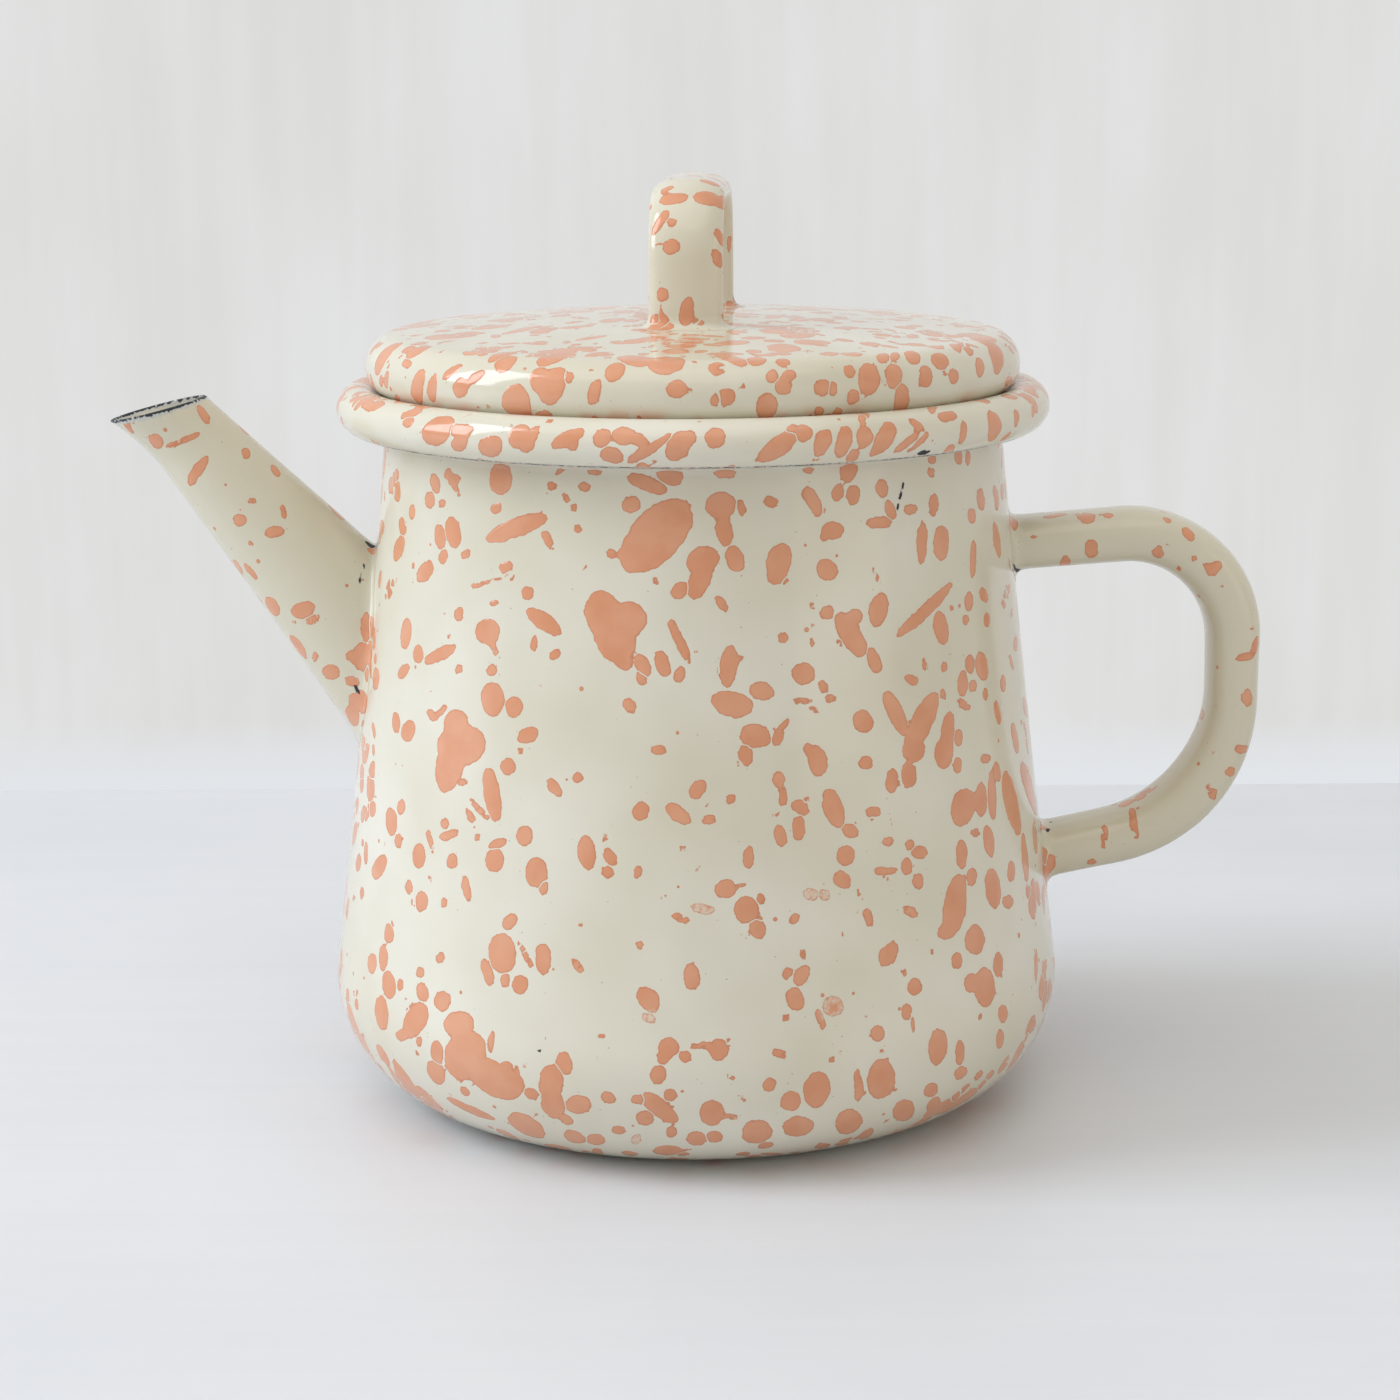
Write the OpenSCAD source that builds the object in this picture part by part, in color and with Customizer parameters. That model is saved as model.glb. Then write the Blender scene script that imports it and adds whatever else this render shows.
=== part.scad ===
// Enamelled steel coffee pot with a lift-off lid, built up from pressed and rolled sheet.
// Millimetres, +Z up. The origin is the centre of the foot, on the surface the pot stands on.
// The spout points to -X and the handle to +X.

/* [Sheet] */
// Thickness of the enamelled steel sheet
sheet = 1.2; // [0.9:0.1:1.6]

/* [Pot] */
// Outer diameter of the belly, just above the base
belly_d = 130; // [118:1:144]
// Outer diameter of the neck, under the rim
neck_d = 108.4; // [100:0.2:116]
// Height at which the neck starts to flare into the rim
neck_h = 118.3; // [112:0.1:150]
// How far the wall bows in between belly and neck
wall_hollow = 0.35; // [0:0.05:2]
// Outer radius of the rounded corner between base and wall
corner_r = 21.5; // [14:0.5:26]
// Height of the welded seam between base and wall
seam_h = 27; // [26:0.5:31]
// How far the middle of the base is pressed up
base_rise = 1.2; // [0.4:0.1:3]
// Width of the flat ring that the pot stands on
foot_ring_w = 8; // [4:0.5:14]

/* [Rim] */
// Diameter of the rolled rim
bead_d = 8; // [6.5:0.1:10]
// How far the rolled rim stands out from the neck
bead_out = 8.2; // [7.5:0.1:11]
// Height of the flare between neck and rim
flare_h = 5; // [4.5:0.1:8]
// Angle at which the rolled edge ends, counted from its outermost point
curl_end = 132; // [110:1:134]

/* [Spout] */
// Height at which the spout's axis leaves the wall
spout_root_z = 82; // [72:0.5:88]
// Slope of the spout's axis above the horizontal
spout_slope = 49.7; // [42:0.1:58]
// Length of the spout's axis, from the wall to the middle of the mouth
spout_len = 53.7; // [44:0.1:64]
// Outer diameter of the spout where its axis leaves the wall
spout_root_d = 24.9; // [20:0.1:28]
// Outer diameter of the spout just behind its lip
spout_tip_d = 13; // [10:0.1:16]
// Length of the flared pouring lip, as a share of the spout
lip_share = 0.2; // [0.1:0.01:0.3]
// How far the lip turns down at its lowest point
lip_drop = 2.5; // [0.5:0.1:4]
// How far the lip opens to each side
lip_side = 1.7; // [0.3:0.1:3]
// Angle of the mouth's cut to the spout's axis
mouth_cut = 26.4; // [10:0.1:35]
// How far the collar at the spout's root reaches up the spout
collar_rise = 3.2; // [2:0.1:4.5]
// How far the collar at the spout's root reaches over the wall
collar_reach = 1.6; // [1:0.1:3]

/* [Handle] */
// Height at which the handle's upper arm leaves the wall
arm_z = 98; // [92:0.5:104]
// Slope of the upper arm
arm_slope = 4.3; // [0:0.1:8]
// Distance from the pot's axis to the start of the upper bend
arm_reach = 75.8; // [72:0.1:86]
// Radius of the upper bend, at the middle of the strap
upper_bend_r = 18.8; // [15:0.1:22]
// Lean of the grip from the vertical, inwards at its foot
grip_lean = 0; // [0:0.5:6]
// Length of the straight grip
grip_len = 10; // [6:0.5:16]
// Radius of the lower bend, at the middle of the strap
lower_bend_r = 26.9; // [20:0.1:29]
// Slope of the lower arm, which falls towards the pot
leg_slope = 11.7; // [8:0.1:18]
// Width of the handle strap
handle_w = 15; // [12:0.5:20]
// Thickness of the rolled handle strap
handle_t = 9.4; // [8.4:0.1:10.6]
// Corner radius of the handle strap
handle_corner = 4; // [2.5:0.1:4.1]
// Width of the fillets at the handle's roots
handle_fillet = 2.2; // [1:0.1:3]

/* [Lid] */
// Radius of the dome that forms the lid's top
dome_r = 500; // [200:5:900]
// Outer radius of the lid's shoulder
shoulder_r = 5.5; // [3:0.1:7]
// Height of the lid's upright side, between shoulder and turned-in edge
lid_side_h = 0.6; // [0.2:0.1:10]
// Width of the flat ledge inside the turned-in edge
ledge_w = 0.4; // [0.2:0.1:2.5]
// How far the lid's side stands inside the crest of the rim
lid_setback = 1.2; // [0.4:0.1:2]
// Gap between the lid's edge and the rim that it rests on
seat_gap = 0.3; // [0.2:0.05:0.5]
// Gap between the lid's collar and the neck
collar_gap = 0.6; // [0.4:0.1:1.5]
// Depth of the collar below the lid's edge
collar_depth = 12; // [6:0.5:20]

/* [Lid strap] */
// Angle by which the lid is turned on the pot
lid_turn = -3; // [-30:1:30]
// Height of the strap's top above the lid's crown
strap_h = 24.1; // [19:0.1:32]
// Length of the strap over both legs
strap_span = 47; // [38:0.5:60]
// Radius of the strap's two bends, at the middle of its thickness
strap_bend_r = 10.5; // [7:0.5:13]
// Width of the strap
strap_w = 12.6; // [10:0.2:16]
// Thickness of the rolled strap
strap_t = 5.6; // [4.6:0.1:6.4]
// Corner radius of the strap
strap_corner = 2.5; // [1.8:0.1:2.7]
// Width of the fillets at the strap's feet
strap_fillet = 2.2; // [1:0.1:3]

/* [Hidden] */
$fn = 96;
// Steps round a solid that only cuts others, finer so that what it leaves is true
CUT_FN = 360;

CREAM = "#ece4c8";
SALMON = "#d39a7c";
SHADE = "#d9d2b4";

// Steps along a curve of a turned profile, and points round a spout or a strap
CURVE_STEPS = 14;
WALL_STEPS = 12;
SPOUT_POINTS = 40;
SPOUT_RINGS = 12;
FILLET_STEPS = 4;
BEND_STEPS = 12;
// What a fillet stands proud of its two neighbours at its edges, and how deep it starts inside them
FILLET_LIP = 0.12;
FILLET_SINK = 0.6;

// --- The pot's outline, as [radius, height] ---
belly_r = belly_d / 2;
neck_r = neck_d / 2;
corner_c = [belly_r - corner_r, corner_r];
wall_lean = atan((belly_r - neck_r + 4 * wall_hollow) / (neck_h - corner_r));
wall_foot = corner_c + corner_r * [cos(wall_lean), sin(wall_lean)];
sheet_across = sheet / cos(wall_lean);
bead_r = bead_d / 2;
bead_c = [neck_r + bead_out - bead_r, neck_h + flare_h];
panel_r = corner_c.x - foot_ring_w;

// --- The spout, in its own plane: along its axis and across it, upwards ---
spout_along = [-cos(spout_slope), 0, sin(spout_slope)];
spout_across = [sin(spout_slope), 0, cos(spout_slope)];
spout_root = [-wall_r(spout_root_z), 0, spout_root_z];
spout_start = -24;
// The turns round the spout start to slant here, to lie in the mouth's cut at its end
slant_start = 0.4 * spout_len;

// --- The handle's middle line, in the XZ plane ---
arm_start = [wall_r(arm_z), arm_z];
arm_end = [arm_reach, arm_z + (arm_reach - arm_start.x) * tan(arm_slope)];
upper_bend_c = arm_end + upper_bend_r * [sin(arm_slope), -cos(arm_slope)];
grip_start = upper_bend_c + upper_bend_r * [cos(grip_lean), -sin(grip_lean)];
grip_end = grip_start - grip_len * [sin(grip_lean), cos(grip_lean)];
lower_bend_c = grip_end - lower_bend_r * [cos(grip_lean), -sin(grip_lean)];
leg_start = lower_bend_c + lower_bend_r * [sin(leg_slope), -cos(leg_slope)];
leg_root_x = belly_r - 6;
leg_end = leg_start - (leg_start.x - leg_root_x) * [1, tan(leg_slope)];
// Straps run this far into what carries them before they are trimmed to it
SINK = 8;
handle_line = concat(
    [station(arm_start - SINK * [cos(arm_slope), sin(arm_slope)], arm_slope)],
    bend(upper_bend_c, upper_bend_r, 90 + arm_slope, -grip_lean),
    bend(lower_bend_c, lower_bend_r, -grip_lean, leg_slope - 90),
    [station(leg_end - SINK * [cos(leg_slope), sin(leg_slope)], leg_slope - 180)]
);

// --- The lid's outline, as [radius, height] ---
lid_r = bead_c.x - lid_setback;
collar_r = neck_r - sheet_across - collar_gap;
lid_edge_r = lid_r - collar_r - ledge_w;
lid_edge_c = [
    lid_r - lid_edge_r,
    bead_c.y + sqrt((bead_r + lid_edge_r + seat_gap) ^ 2 - (lid_setback + lid_edge_r) ^ 2)
];
ledge_z = lid_edge_c.y - lid_edge_r;
shoulder_c = [lid_r - shoulder_r, lid_edge_c.y + lid_side_h];
dome_tilt = asin(shoulder_c.x / (dome_r - shoulder_r));
dome_c = [0, shoulder_c.y - (dome_r - shoulder_r) * cos(dome_tilt)];
crown_z = dome_c.y + dome_r;

// --- The lid strap's middle line ---
strap_top = crown_z + strap_h - strap_t / 2;
strap_leg = (strap_span - strap_t) / 2;
strap_bend_c = [strap_leg - strap_bend_r, strap_top - strap_bend_r];
strap_line = concat(
    [station([-strap_leg, crown_z - SINK], 90)],
    bend([-strap_bend_c.x, strap_bend_c.y], strap_bend_r, 180, 90),
    bend(strap_bend_c, strap_bend_r, 90, 0),
    [station([strap_leg, crown_z - SINK], -90)]
);

function lerp(a, b, t) = a + (b - a) * t;
function unit(v) = v / norm(v);
function arc_points(c, r, from, to, steps = CURVE_STEPS) =
    [for (i = [0:steps]) let (a = lerp(from, to, i / steps)) c + r * [cos(a), sin(a)]];
function reversed(list) = [for (i = [len(list) - 1:-1:0]) list[i]];

// Outer radius of the wall at a height: a straight lean, bowed in a little
function wall_r(z) =
    let (t = (z - wall_foot.y) / (neck_h - wall_foot.y))
    lerp(wall_foot.x, neck_r, t) - 4 * wall_hollow * t * (1 - t);
function wall_points(from, to) =
    [for (i = [0:WALL_STEPS]) let (z = lerp(from, to, i / WALL_STEPS)) [wall_r(z), z]];

// How far a point lies outside the wall, or above the lid's dome
wall_gap = function(q) norm([q.x, q.y]) - wall_r(q.z);
dome_gap = function(q) norm(q - [0, 0, dome_c.y]) - dome_r;
function slope_of(gap, q, e = 0.01) =
    unit([for (axis = [[e, 0, 0], [0, e, 0], [0, 0, e]]) gap(q + axis) - gap(q - axis)]);
// The point at which a line meets such a surface
function meets(gap, p, d, tries = 9) =
    tries == 0 ? p : let (f = gap(p), g = gap(p + d) - f) meets(gap, p - d * f / g, d, tries - 1);

// A strap's middle line in the XZ plane, as stations of [x, z, direction]
function station(at, direction) = [at.x, at.y, direction];
function bend(c, r, from, to) = [
    for (i = [0:BEND_STEPS]) let (a = lerp(from, to, i / BEND_STEPS))
    station(c + r * [cos(a), sin(a)], a - 90)
];
// Outline of a rolled strap's section, as [across its thickness, across its width, direction]
function bar_ring(w, t, r) = [
    for (k = [0:3], i = [0:5])
    let (a = k * 90 + i * 18, m = k * 90 + 45)
    [(t / 2 - r) * sign(cos(m)) + r * cos(a), (w / 2 - r) * sign(sin(m)) + r * sin(a), a]
];

function strap_rings(line, w, t, r) = [
    for (s = line) [
        for (p = bar_ring(w, t, r))
        [s.x - p.x * sin(s.z), -p.y, s.y + p.x * cos(s.z)]
    ]
];

// One turn round the spout at a distance along it, inset from its outer surface
function spout_ring(reach, inset = 0) = [
    for (i = [0:SPOUT_POINTS - 1])
    let (
        a = 360 * i / SPOUT_POINTS,
        r = lerp(spout_root_d, spout_tip_d, reach / spout_len) / 2 - inset,
        flare = max(0, 1 - (1 - reach / spout_len) / lip_share) ^ 2,
        across = r * cos(a) - lip_drop * flare * (1 - cos(a)) / 2,
        slant = max(0, reach - slant_start) / (spout_len - slant_start),
        along = reach - across * tan(mouth_cut) * slant
    )
    spout_root + along * spout_along + across * spout_across + [0, (r + lip_side * flare) * sin(a), 0]
];
spout_reaches =
    [for (i = [0:SPOUT_RINGS]) lerp(spout_start, spout_len, 1 - (1 - i / SPOUT_RINGS) ^ 1.5)];

// Section of a concave fillet at one root point: out over the surface, then up along the piece
function fillet_section(gap, root, out, along, reach, rise) =
    let (
        n = slope_of(gap, root),
        side = unit(out - (out * n) * n),
        far = root + reach * side,
        low = far - (gap(far) - FILLET_LIP) * slope_of(gap, far),
        high = root + rise * along + FILLET_LIP * out,
        mid = root + FILLET_LIP * (n + out)
    )
    concat(
        [for (i = [0:FILLET_STEPS]) let (t = i / FILLET_STEPS)
            (1 - t) ^ 2 * low + 2 * t * (1 - t) * mid + t ^ 2 * high],
        [high - FILLET_SINK * out, root - FILLET_SINK * (out + n), low - FILLET_SINK * n]
    );
function turned(list) = [for (k = [0:len(list[0]) - 1]) [for (row = list) row[k]]];

// Closed solid through rings of points, the last ring joined to the first again
module band(rings) {
    k = len(rings);
    n = len(rings[0]);
    at = function(i, j) (i % k) * n + j % n;
    polyhedron(
        points = [for (ring = rings, p = ring) p],
        faces = [
            for (i = [0:k - 1], j = [0:n - 1], upper = [0, 1])
            upper == 1
                ? [at(i, j), at(i + 1, j), at(i + 1, j + 1)]
                : [at(i, j), at(i + 1, j + 1), at(i, j + 1)]
        ],
        convexity = 8
    );
}

// Sheet rolled to a strap's section round a hollow, bent along a line
module strap(line, w, t, r) {
    band(concat(
        strap_rings(line, w, t, r),
        reversed(strap_rings(line, w - 2 * sheet, t - 2 * sheet, max(r - sheet, 0.2)))
    ));
}
// Straight solid length of a strap, both ways from a point on its line
module strap_core(at, direction, w, t, r) {
    translate([at.x, 0, at.y])
        rotate([0, 90 - direction, 0])
            translate([0, 0, -SINK])
                linear_extrude(2 * SINK) polygon([for (p = bar_ring(w, t, r)) [p.x, p.y]]);
}

// Everything inside the pot's outer surface, up to the neck
module pot_solid() {
    rotate_extrude($fn = CUT_FN)
        polygon(concat(
            [[0, 0]], arc_points(corner_c, corner_r, -90, wall_lean),
            wall_points(wall_foot.y + 1, neck_h), [[0, neck_h]]
        ));
}
module spout_bore() {
    inner = function(along) lerp(spout_root_d, spout_tip_d, along / spout_len) / 2 - sheet;
    reach = 20;
    translate(spout_root - reach * spout_along)
        rotate([0, spout_slope - 90, 0])
            cylinder(h = 2 * reach, r1 = inner(-reach), r2 = inner(reach));
}
module spout_core() {
    translate(spout_root + spout_start * spout_along)
        rotate([0, spout_slope - 90, 0])
            cylinder(
                h = 2 * abs(spout_start),
                r1 = lerp(spout_root_d, spout_tip_d, spout_start / spout_len) / 2,
                r2 = lerp(spout_root_d, spout_tip_d, -spout_start / spout_len) / 2,
                $fn = CUT_FN
            );
}

module pot_wall() {
    color(CREAM) difference() {
        rotate_extrude() {
            polygon(concat(
                wall_points(seam_h, neck_h),
                [bead_c - [bead_r - sheet, 0], bead_c - [bead_r, 0]],
                [for (p = reversed(wall_points(seam_h, neck_h))) p - [sheet_across, 0]]
            ));
            // The rim is one turn of the sheet, rolled outwards and left open at its edge
            difference() {
                translate(bead_c) circle(bead_r);
                translate(bead_c) circle(bead_r - sheet);
                polygon([
                    bead_c, bead_c - [bead_d, 0],
                    bead_c + bead_d * [-cos(180 - curl_end), -sin(180 - curl_end)]
                ]);
            }
        }
        spout_bore();
    }
}

module pot_base() {
    seam_r = wall_r(seam_h);
    color(CREAM) rotate_extrude()
        polygon(concat(
            [[0, base_rise], [panel_r - base_rise, base_rise], [panel_r, 0]],
            arc_points(corner_c, corner_r, -90, wall_lean),
            [[seam_r, seam_h], [seam_r - sheet_across, seam_h]],
            arc_points(corner_c, corner_r - sheet, wall_lean, -90),
            [[panel_r, sheet], [panel_r - base_rise, base_rise + sheet], [0, base_rise + sheet]]
        ));
}

module spout_tube() {
    color(SHADE) difference() {
        band(concat(
            [for (s = spout_reaches) spout_ring(s)],
            [for (s = reversed(spout_reaches)) spout_ring(s, sheet)]
        ));
        pot_solid();
    }
}

module spout_collar() {
    from = spout_ring(0);
    to = spout_ring(slant_start);
    color(SALMON) difference() {
        band(turned([
            for (i = [0:SPOUT_POINTS - 1])
            let (
                a = 360 * i / SPOUT_POINTS,
                out = cos(a) * spout_across + [0, sin(a), 0],
                edge = unit(to[i] - from[i]),
                root = meets(wall_gap, from[i], edge)
            )
            fillet_section(wall_gap, root, out, edge, collar_reach, collar_rise)
        ]));
        pot_solid();
        spout_core();
    }
}

module handle_strap() {
    color(SHADE) difference() {
        strap(handle_line, handle_w, handle_t, handle_corner);
        pot_solid();
    }
}

// Fillet where an arm that points along a slope in the XZ plane leaves the wall
module handle_weld(at, slope) {
    along = [cos(slope), 0, sin(slope)];
    up = [-sin(slope), 0, cos(slope)];
    aside = [0, -1, 0];
    color(SALMON) difference() {
        band(turned([
            for (p = bar_ring(handle_w, handle_t, handle_corner))
            let (
                start = [at.x, 0, at.y] + p.x * up + p.y * aside,
                out = cos(p.z) * up + sin(p.z) * aside,
                root = meets(wall_gap, start, along)
            )
            fillet_section(wall_gap, root, out, along, handle_fillet, handle_fillet)
        ]));
        pot_solid();
        strap_core(at, slope, handle_w, handle_t, handle_corner);
    }
}
module handle_weld_upper() {
    handle_weld(arm_start, arm_slope);
}
module handle_weld_lower() {
    handle_weld(leg_end, leg_slope);
}

module lid_cap() {
    color(CREAM) rotate_extrude()
        polygon(concat(
            arc_points(dome_c, dome_r, 90, 90 - dome_tilt),
            arc_points(shoulder_c, shoulder_r, 90 - dome_tilt, 0),
            arc_points(lid_edge_c, lid_edge_r, 0, -90),
            [[collar_r, ledge_z], [collar_r, ledge_z + sheet]],
            arc_points(lid_edge_c, lid_edge_r - sheet, -90, 0),
            arc_points(shoulder_c, shoulder_r - sheet, 0, 90 - dome_tilt),
            arc_points(dome_c, dome_r - sheet, 90 - dome_tilt, 90)
        ));
}

module lid_collar() {
    color(CREAM) rotate_extrude()
        translate([collar_r - sheet, ledge_z - collar_depth])
            square([sheet, collar_depth + sheet]);
}

// Everything under the lid's dome
module dome_solid() {
    rotate_extrude($fn = CUT_FN)
        polygon(concat(
            arc_points(dome_c, dome_r, 90, 90 - dome_tilt),
            [[shoulder_c.x, ledge_z], [0, ledge_z]]
        ));
}

module lid_strap() {
    color(SHADE) difference() {
        rotate([0, 0, 90 + lid_turn]) strap(strap_line, strap_w, strap_t, strap_corner);
        dome_solid();
    }
}

// Fillet round the foot of one leg of the strap
module strap_weld(side) {
    a = side + lid_turn;
    across = [cos(a), sin(a), 0];
    aside = [-sin(a), cos(a), 0];
    up = [0, 0, 1];
    color(SALMON) difference() {
        band(turned([
            for (p = bar_ring(strap_w, strap_t, strap_corner))
            let (
                start = (strap_leg + p.x) * across + p.y * aside + crown_z * up,
                out = cos(p.z) * across + sin(p.z) * aside,
                root = meets(dome_gap, start, up)
            )
            fillet_section(dome_gap, root, out, up, strap_fillet, strap_fillet)
        ]));
        dome_solid();
        rotate([0, 0, a])
            strap_core([strap_leg, crown_z], 90, strap_w, strap_t, strap_corner);
    }
}
module lid_strap_weld_front() {
    strap_weld(-90);
}
module lid_strap_weld_back() {
    strap_weld(90);
}

pot_wall();
pot_base();
spout_tube();
spout_collar();
handle_strap();
handle_weld_upper();
handle_weld_lower();
lid_cap();
lid_collar();
lid_strap();
lid_strap_weld_front();
lid_strap_weld_back();
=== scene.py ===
# %% [markdown]
# # A splatter-enamelled coffee pot
# The pot is pressed and rolled from thin steel sheet, welded, and fused over with glass enamel.
# This lesson dresses its parts: a smooth, fine mesh for every part, one enamel with thrown drops
# of a second colour, chips where the glass has left a sheet edge, and plain daylight.

# %% Load the frame
import math

import bmesh
import bpy
import numpy as np
from mathutils import Matrix, Vector
from mathutils.bvhtree import BVHTree
from mathutils.kdtree import KDTree


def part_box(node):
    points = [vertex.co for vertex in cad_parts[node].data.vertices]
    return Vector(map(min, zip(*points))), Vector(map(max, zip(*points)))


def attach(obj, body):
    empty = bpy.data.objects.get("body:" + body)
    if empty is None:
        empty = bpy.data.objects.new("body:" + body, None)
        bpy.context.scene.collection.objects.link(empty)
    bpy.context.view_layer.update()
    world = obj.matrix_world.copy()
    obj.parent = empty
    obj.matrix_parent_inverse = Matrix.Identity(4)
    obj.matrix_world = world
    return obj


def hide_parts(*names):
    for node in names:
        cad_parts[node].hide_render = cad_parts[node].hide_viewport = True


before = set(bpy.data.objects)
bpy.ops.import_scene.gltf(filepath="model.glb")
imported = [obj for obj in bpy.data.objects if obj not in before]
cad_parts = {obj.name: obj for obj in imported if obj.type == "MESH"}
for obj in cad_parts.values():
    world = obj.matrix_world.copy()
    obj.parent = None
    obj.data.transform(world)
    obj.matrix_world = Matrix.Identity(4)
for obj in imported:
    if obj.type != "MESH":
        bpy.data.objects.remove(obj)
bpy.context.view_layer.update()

MM = 0.001

# %% [markdown]
# The camera comes first, because it also helps to place the large drops of enamel later on.
# A long lens from just above the lid keeps the pot's sides nearly parallel. The way the camera
# is turned is kept, so that a ray can be sent through any pixel.

# %% Camera
FRAME_PIXELS = 1400
SENSOR_MM = 36
LENS_MM = 83.5
EYE = Vector((0.9, -570, 188.8)) * MM
EYE_PITCH = math.radians(11.8)
EYE_ROLL = math.radians(-0.33)

camera = bpy.data.objects.new("camera", bpy.data.cameras.new("camera"))
bpy.context.scene.collection.objects.link(camera)
bpy.context.scene.camera = camera
camera.data.sensor_width = SENSOR_MM
camera.data.lens = LENS_MM
camera.matrix_world = (
    Matrix.Translation(EYE)
    @ Matrix.Rotation(math.pi / 2 - EYE_PITCH, 4, "X")
    @ Matrix.Rotation(EYE_ROLL, 4, "Z")
)
EYE_TURN = camera.matrix_world.to_3x3()


def ray_through(x, y):
    """Direction from the eye through a pixel of the square frame, counted from its top left."""
    focal = LENS_MM / SENSOR_MM * FRAME_PIXELS
    middle = FRAME_PIXELS / 2
    return (EYE_TURN @ Vector((x - middle, middle - y, -focal))).normalized()


middle_ray = ray_through(FRAME_PIXELS / 2, FRAME_PIXELS / 2)
print("the middle of the frame looks along", [round(v, 3) for v in middle_ray])

# %% [markdown]
# The frame's nodes give most sizes. What a box can't say, such as the radius of a bend, is
# repeated here as a named value. All shapes are worked out in millimetres and turned to
# metres once, where a mesh is made.

# %% Sizes from the frame
def corners(part):
    """Lowest and highest corner of a part of the frame, in millimetres."""
    low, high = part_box(part)
    return np.array(low) / MM, np.array(high) / MM


SHEET = 1.2
BELLY_R = corners("pot_base")[1][0]
SEAM_Z = corners("pot_base")[1][2]
RIM_TOP = corners("pot_wall")[1][2]
LID_R = corners("lid_cap")[1][0]
LEDGE_Z, CROWN_Z = corners("lid_cap")[0][2], corners("lid_cap")[1][2]
COLLAR_R = corners("lid_collar")[1][0]
COLLAR_LOW = corners("lid_collar")[0][2]
STRAP_TOP = corners("lid_strap")[1][2]
print("belly radius", round(BELLY_R, 1), "rim top", round(RIM_TOP, 1), "lid radius", round(LID_R, 1))

# %% [markdown]
# An outline is drawn from straight runs and arcs. Points lie evenly along each, about as far
# apart as the step says, so that the mesh is fine enough for the edges of the enamel drops.

# %% Points along lines and arcs
def arc(centre, radius, start, end, step=0.8):
    """Points along an arc, about step apart, with its angles in degrees."""
    count = max(2, int(abs(math.radians(end - start)) * radius / step) + 2)
    turn = np.radians(np.linspace(start, end, count))
    return np.stack([centre[0] + radius * np.cos(turn), centre[1] + radius * np.sin(turn)], 1)


def straight(start, end, step=0.65):
    """Points along a straight line, about step apart, without its two ends."""
    start, end = np.array(start, float), np.array(end, float)
    count = max(2, int(np.linalg.norm(end - start) / step) + 1)
    return start + (end - start) * np.linspace(0, 1, count)[1:-1, None]


def lerp(a, b, t):
    return a + (b - a) * t


print("a quarter of a bend of 10 mm has", len(arc((0, 0), 10, 0, 90)), "points")

# %% [markdown]
# A mesh here is always a stack of rings, each joined to the next by quads. Turned parts use
# rings round the pot's axis and bent straps use rings round the strap. Quads laid by hand stay
# even, which matters because the enamel drops are stored on the corners of the mesh.

# %% Build a mesh from rings
CREASE = 40


def face_out(mesh):
    """Turn all faces outwards and shade them smoothly, up to the angle of a crease."""
    work = bmesh.new()
    work.from_mesh(mesh)
    bmesh.ops.recalc_face_normals(work, faces=work.faces)
    for face in work.faces:
        face.smooth = True
    work.to_mesh(mesh)
    work.free()
    mesh.set_sharp_from_angle(angle=math.radians(CREASE))


def ringed_mesh(name, rings, loop=True):
    """Closed mesh through rings of as many points. Without loop, its two ends meet in a point each."""
    rings = np.asarray(rings, float)
    rows, count = rings.shape[:2]
    points = rings.reshape(-1, 3)
    row = np.arange(rows if loop else rows - 1)[:, None]
    col = np.arange(count)[None, :]
    here, above = row * count, (row + 1) % rows * count
    after = (col + 1) % count
    quads = np.stack([here + col, here + after, above + after, above + col], -1).reshape(-1, 4)
    faces = quads.tolist()
    if not loop:
        ends = np.stack([rings[0].mean(0), rings[-1].mean(0)])
        points = np.concatenate([points, ends])
        first, last = rows * count, rows * count + 1
        top = (rows - 1) * count
        faces += [[first, (i + 1) % count, i] for i in range(count)]
        faces += [[last, top + i, top + (i + 1) % count] for i in range(count)]
    mesh = bpy.data.meshes.new(name)
    mesh.from_pydata((points * MM).tolist(), [], faces)
    face_out(mesh)
    piece = bpy.data.objects.new(name, mesh)
    bpy.context.scene.collection.objects.link(piece)
    print(name, len(mesh.vertices), "corners")
    return piece


def turned_mesh(name, outline, loop=True, around=480):
    """An outline of [radius, height], turned round the pot's axis."""
    turn = np.linspace(0, 2 * math.pi, around, endpoint=False)
    radius, height = np.array(outline)[:, 0], np.array(outline)[:, 1]
    rings = np.empty((len(radius), around, 3))
    rings[..., 0] = radius[:, None] * np.cos(turn)
    rings[..., 1] = radius[:, None] * np.sin(turn)
    rings[..., 2] = height[:, None]
    return ringed_mesh(name, rings, loop)


# %% [markdown]
# The wall is a rolled cone that leans in and bows in a little. Its top edge is rolled outwards
# into a hollow bead that ends just short of the neck, and that open edge is where enamel
# chips first, so the roll is modelled with its real gap.

# %% Outline of the wall and its rolled rim
NECK_R = 54.2
NECK_Z = 118.3
CORNER_R = 21.5
WALL_HOLLOW = 0.35
BEAD_R = 4.0
BEAD_AT = (58.4, RIM_TOP - BEAD_R)
CURL_END = -132
# The roll rubs along a line under its front, in degrees, and gets closer rings there
WORN_AT = -63
WORN_HALF = 8
WORN_STEP = 0.18
OUTER_STEP, ROLL_STEP, CURL_STEP, LINING_STEP = 0.8, 1.2, 0.3, 4

corner_at = (BELLY_R - CORNER_R, CORNER_R)
wall_lean = math.atan((BELLY_R - NECK_R + 4 * WALL_HOLLOW) / (NECK_Z - CORNER_R))
wall_foot = (
    corner_at[0] + CORNER_R * math.cos(wall_lean),
    corner_at[1] + CORNER_R * math.sin(wall_lean),
)


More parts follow.
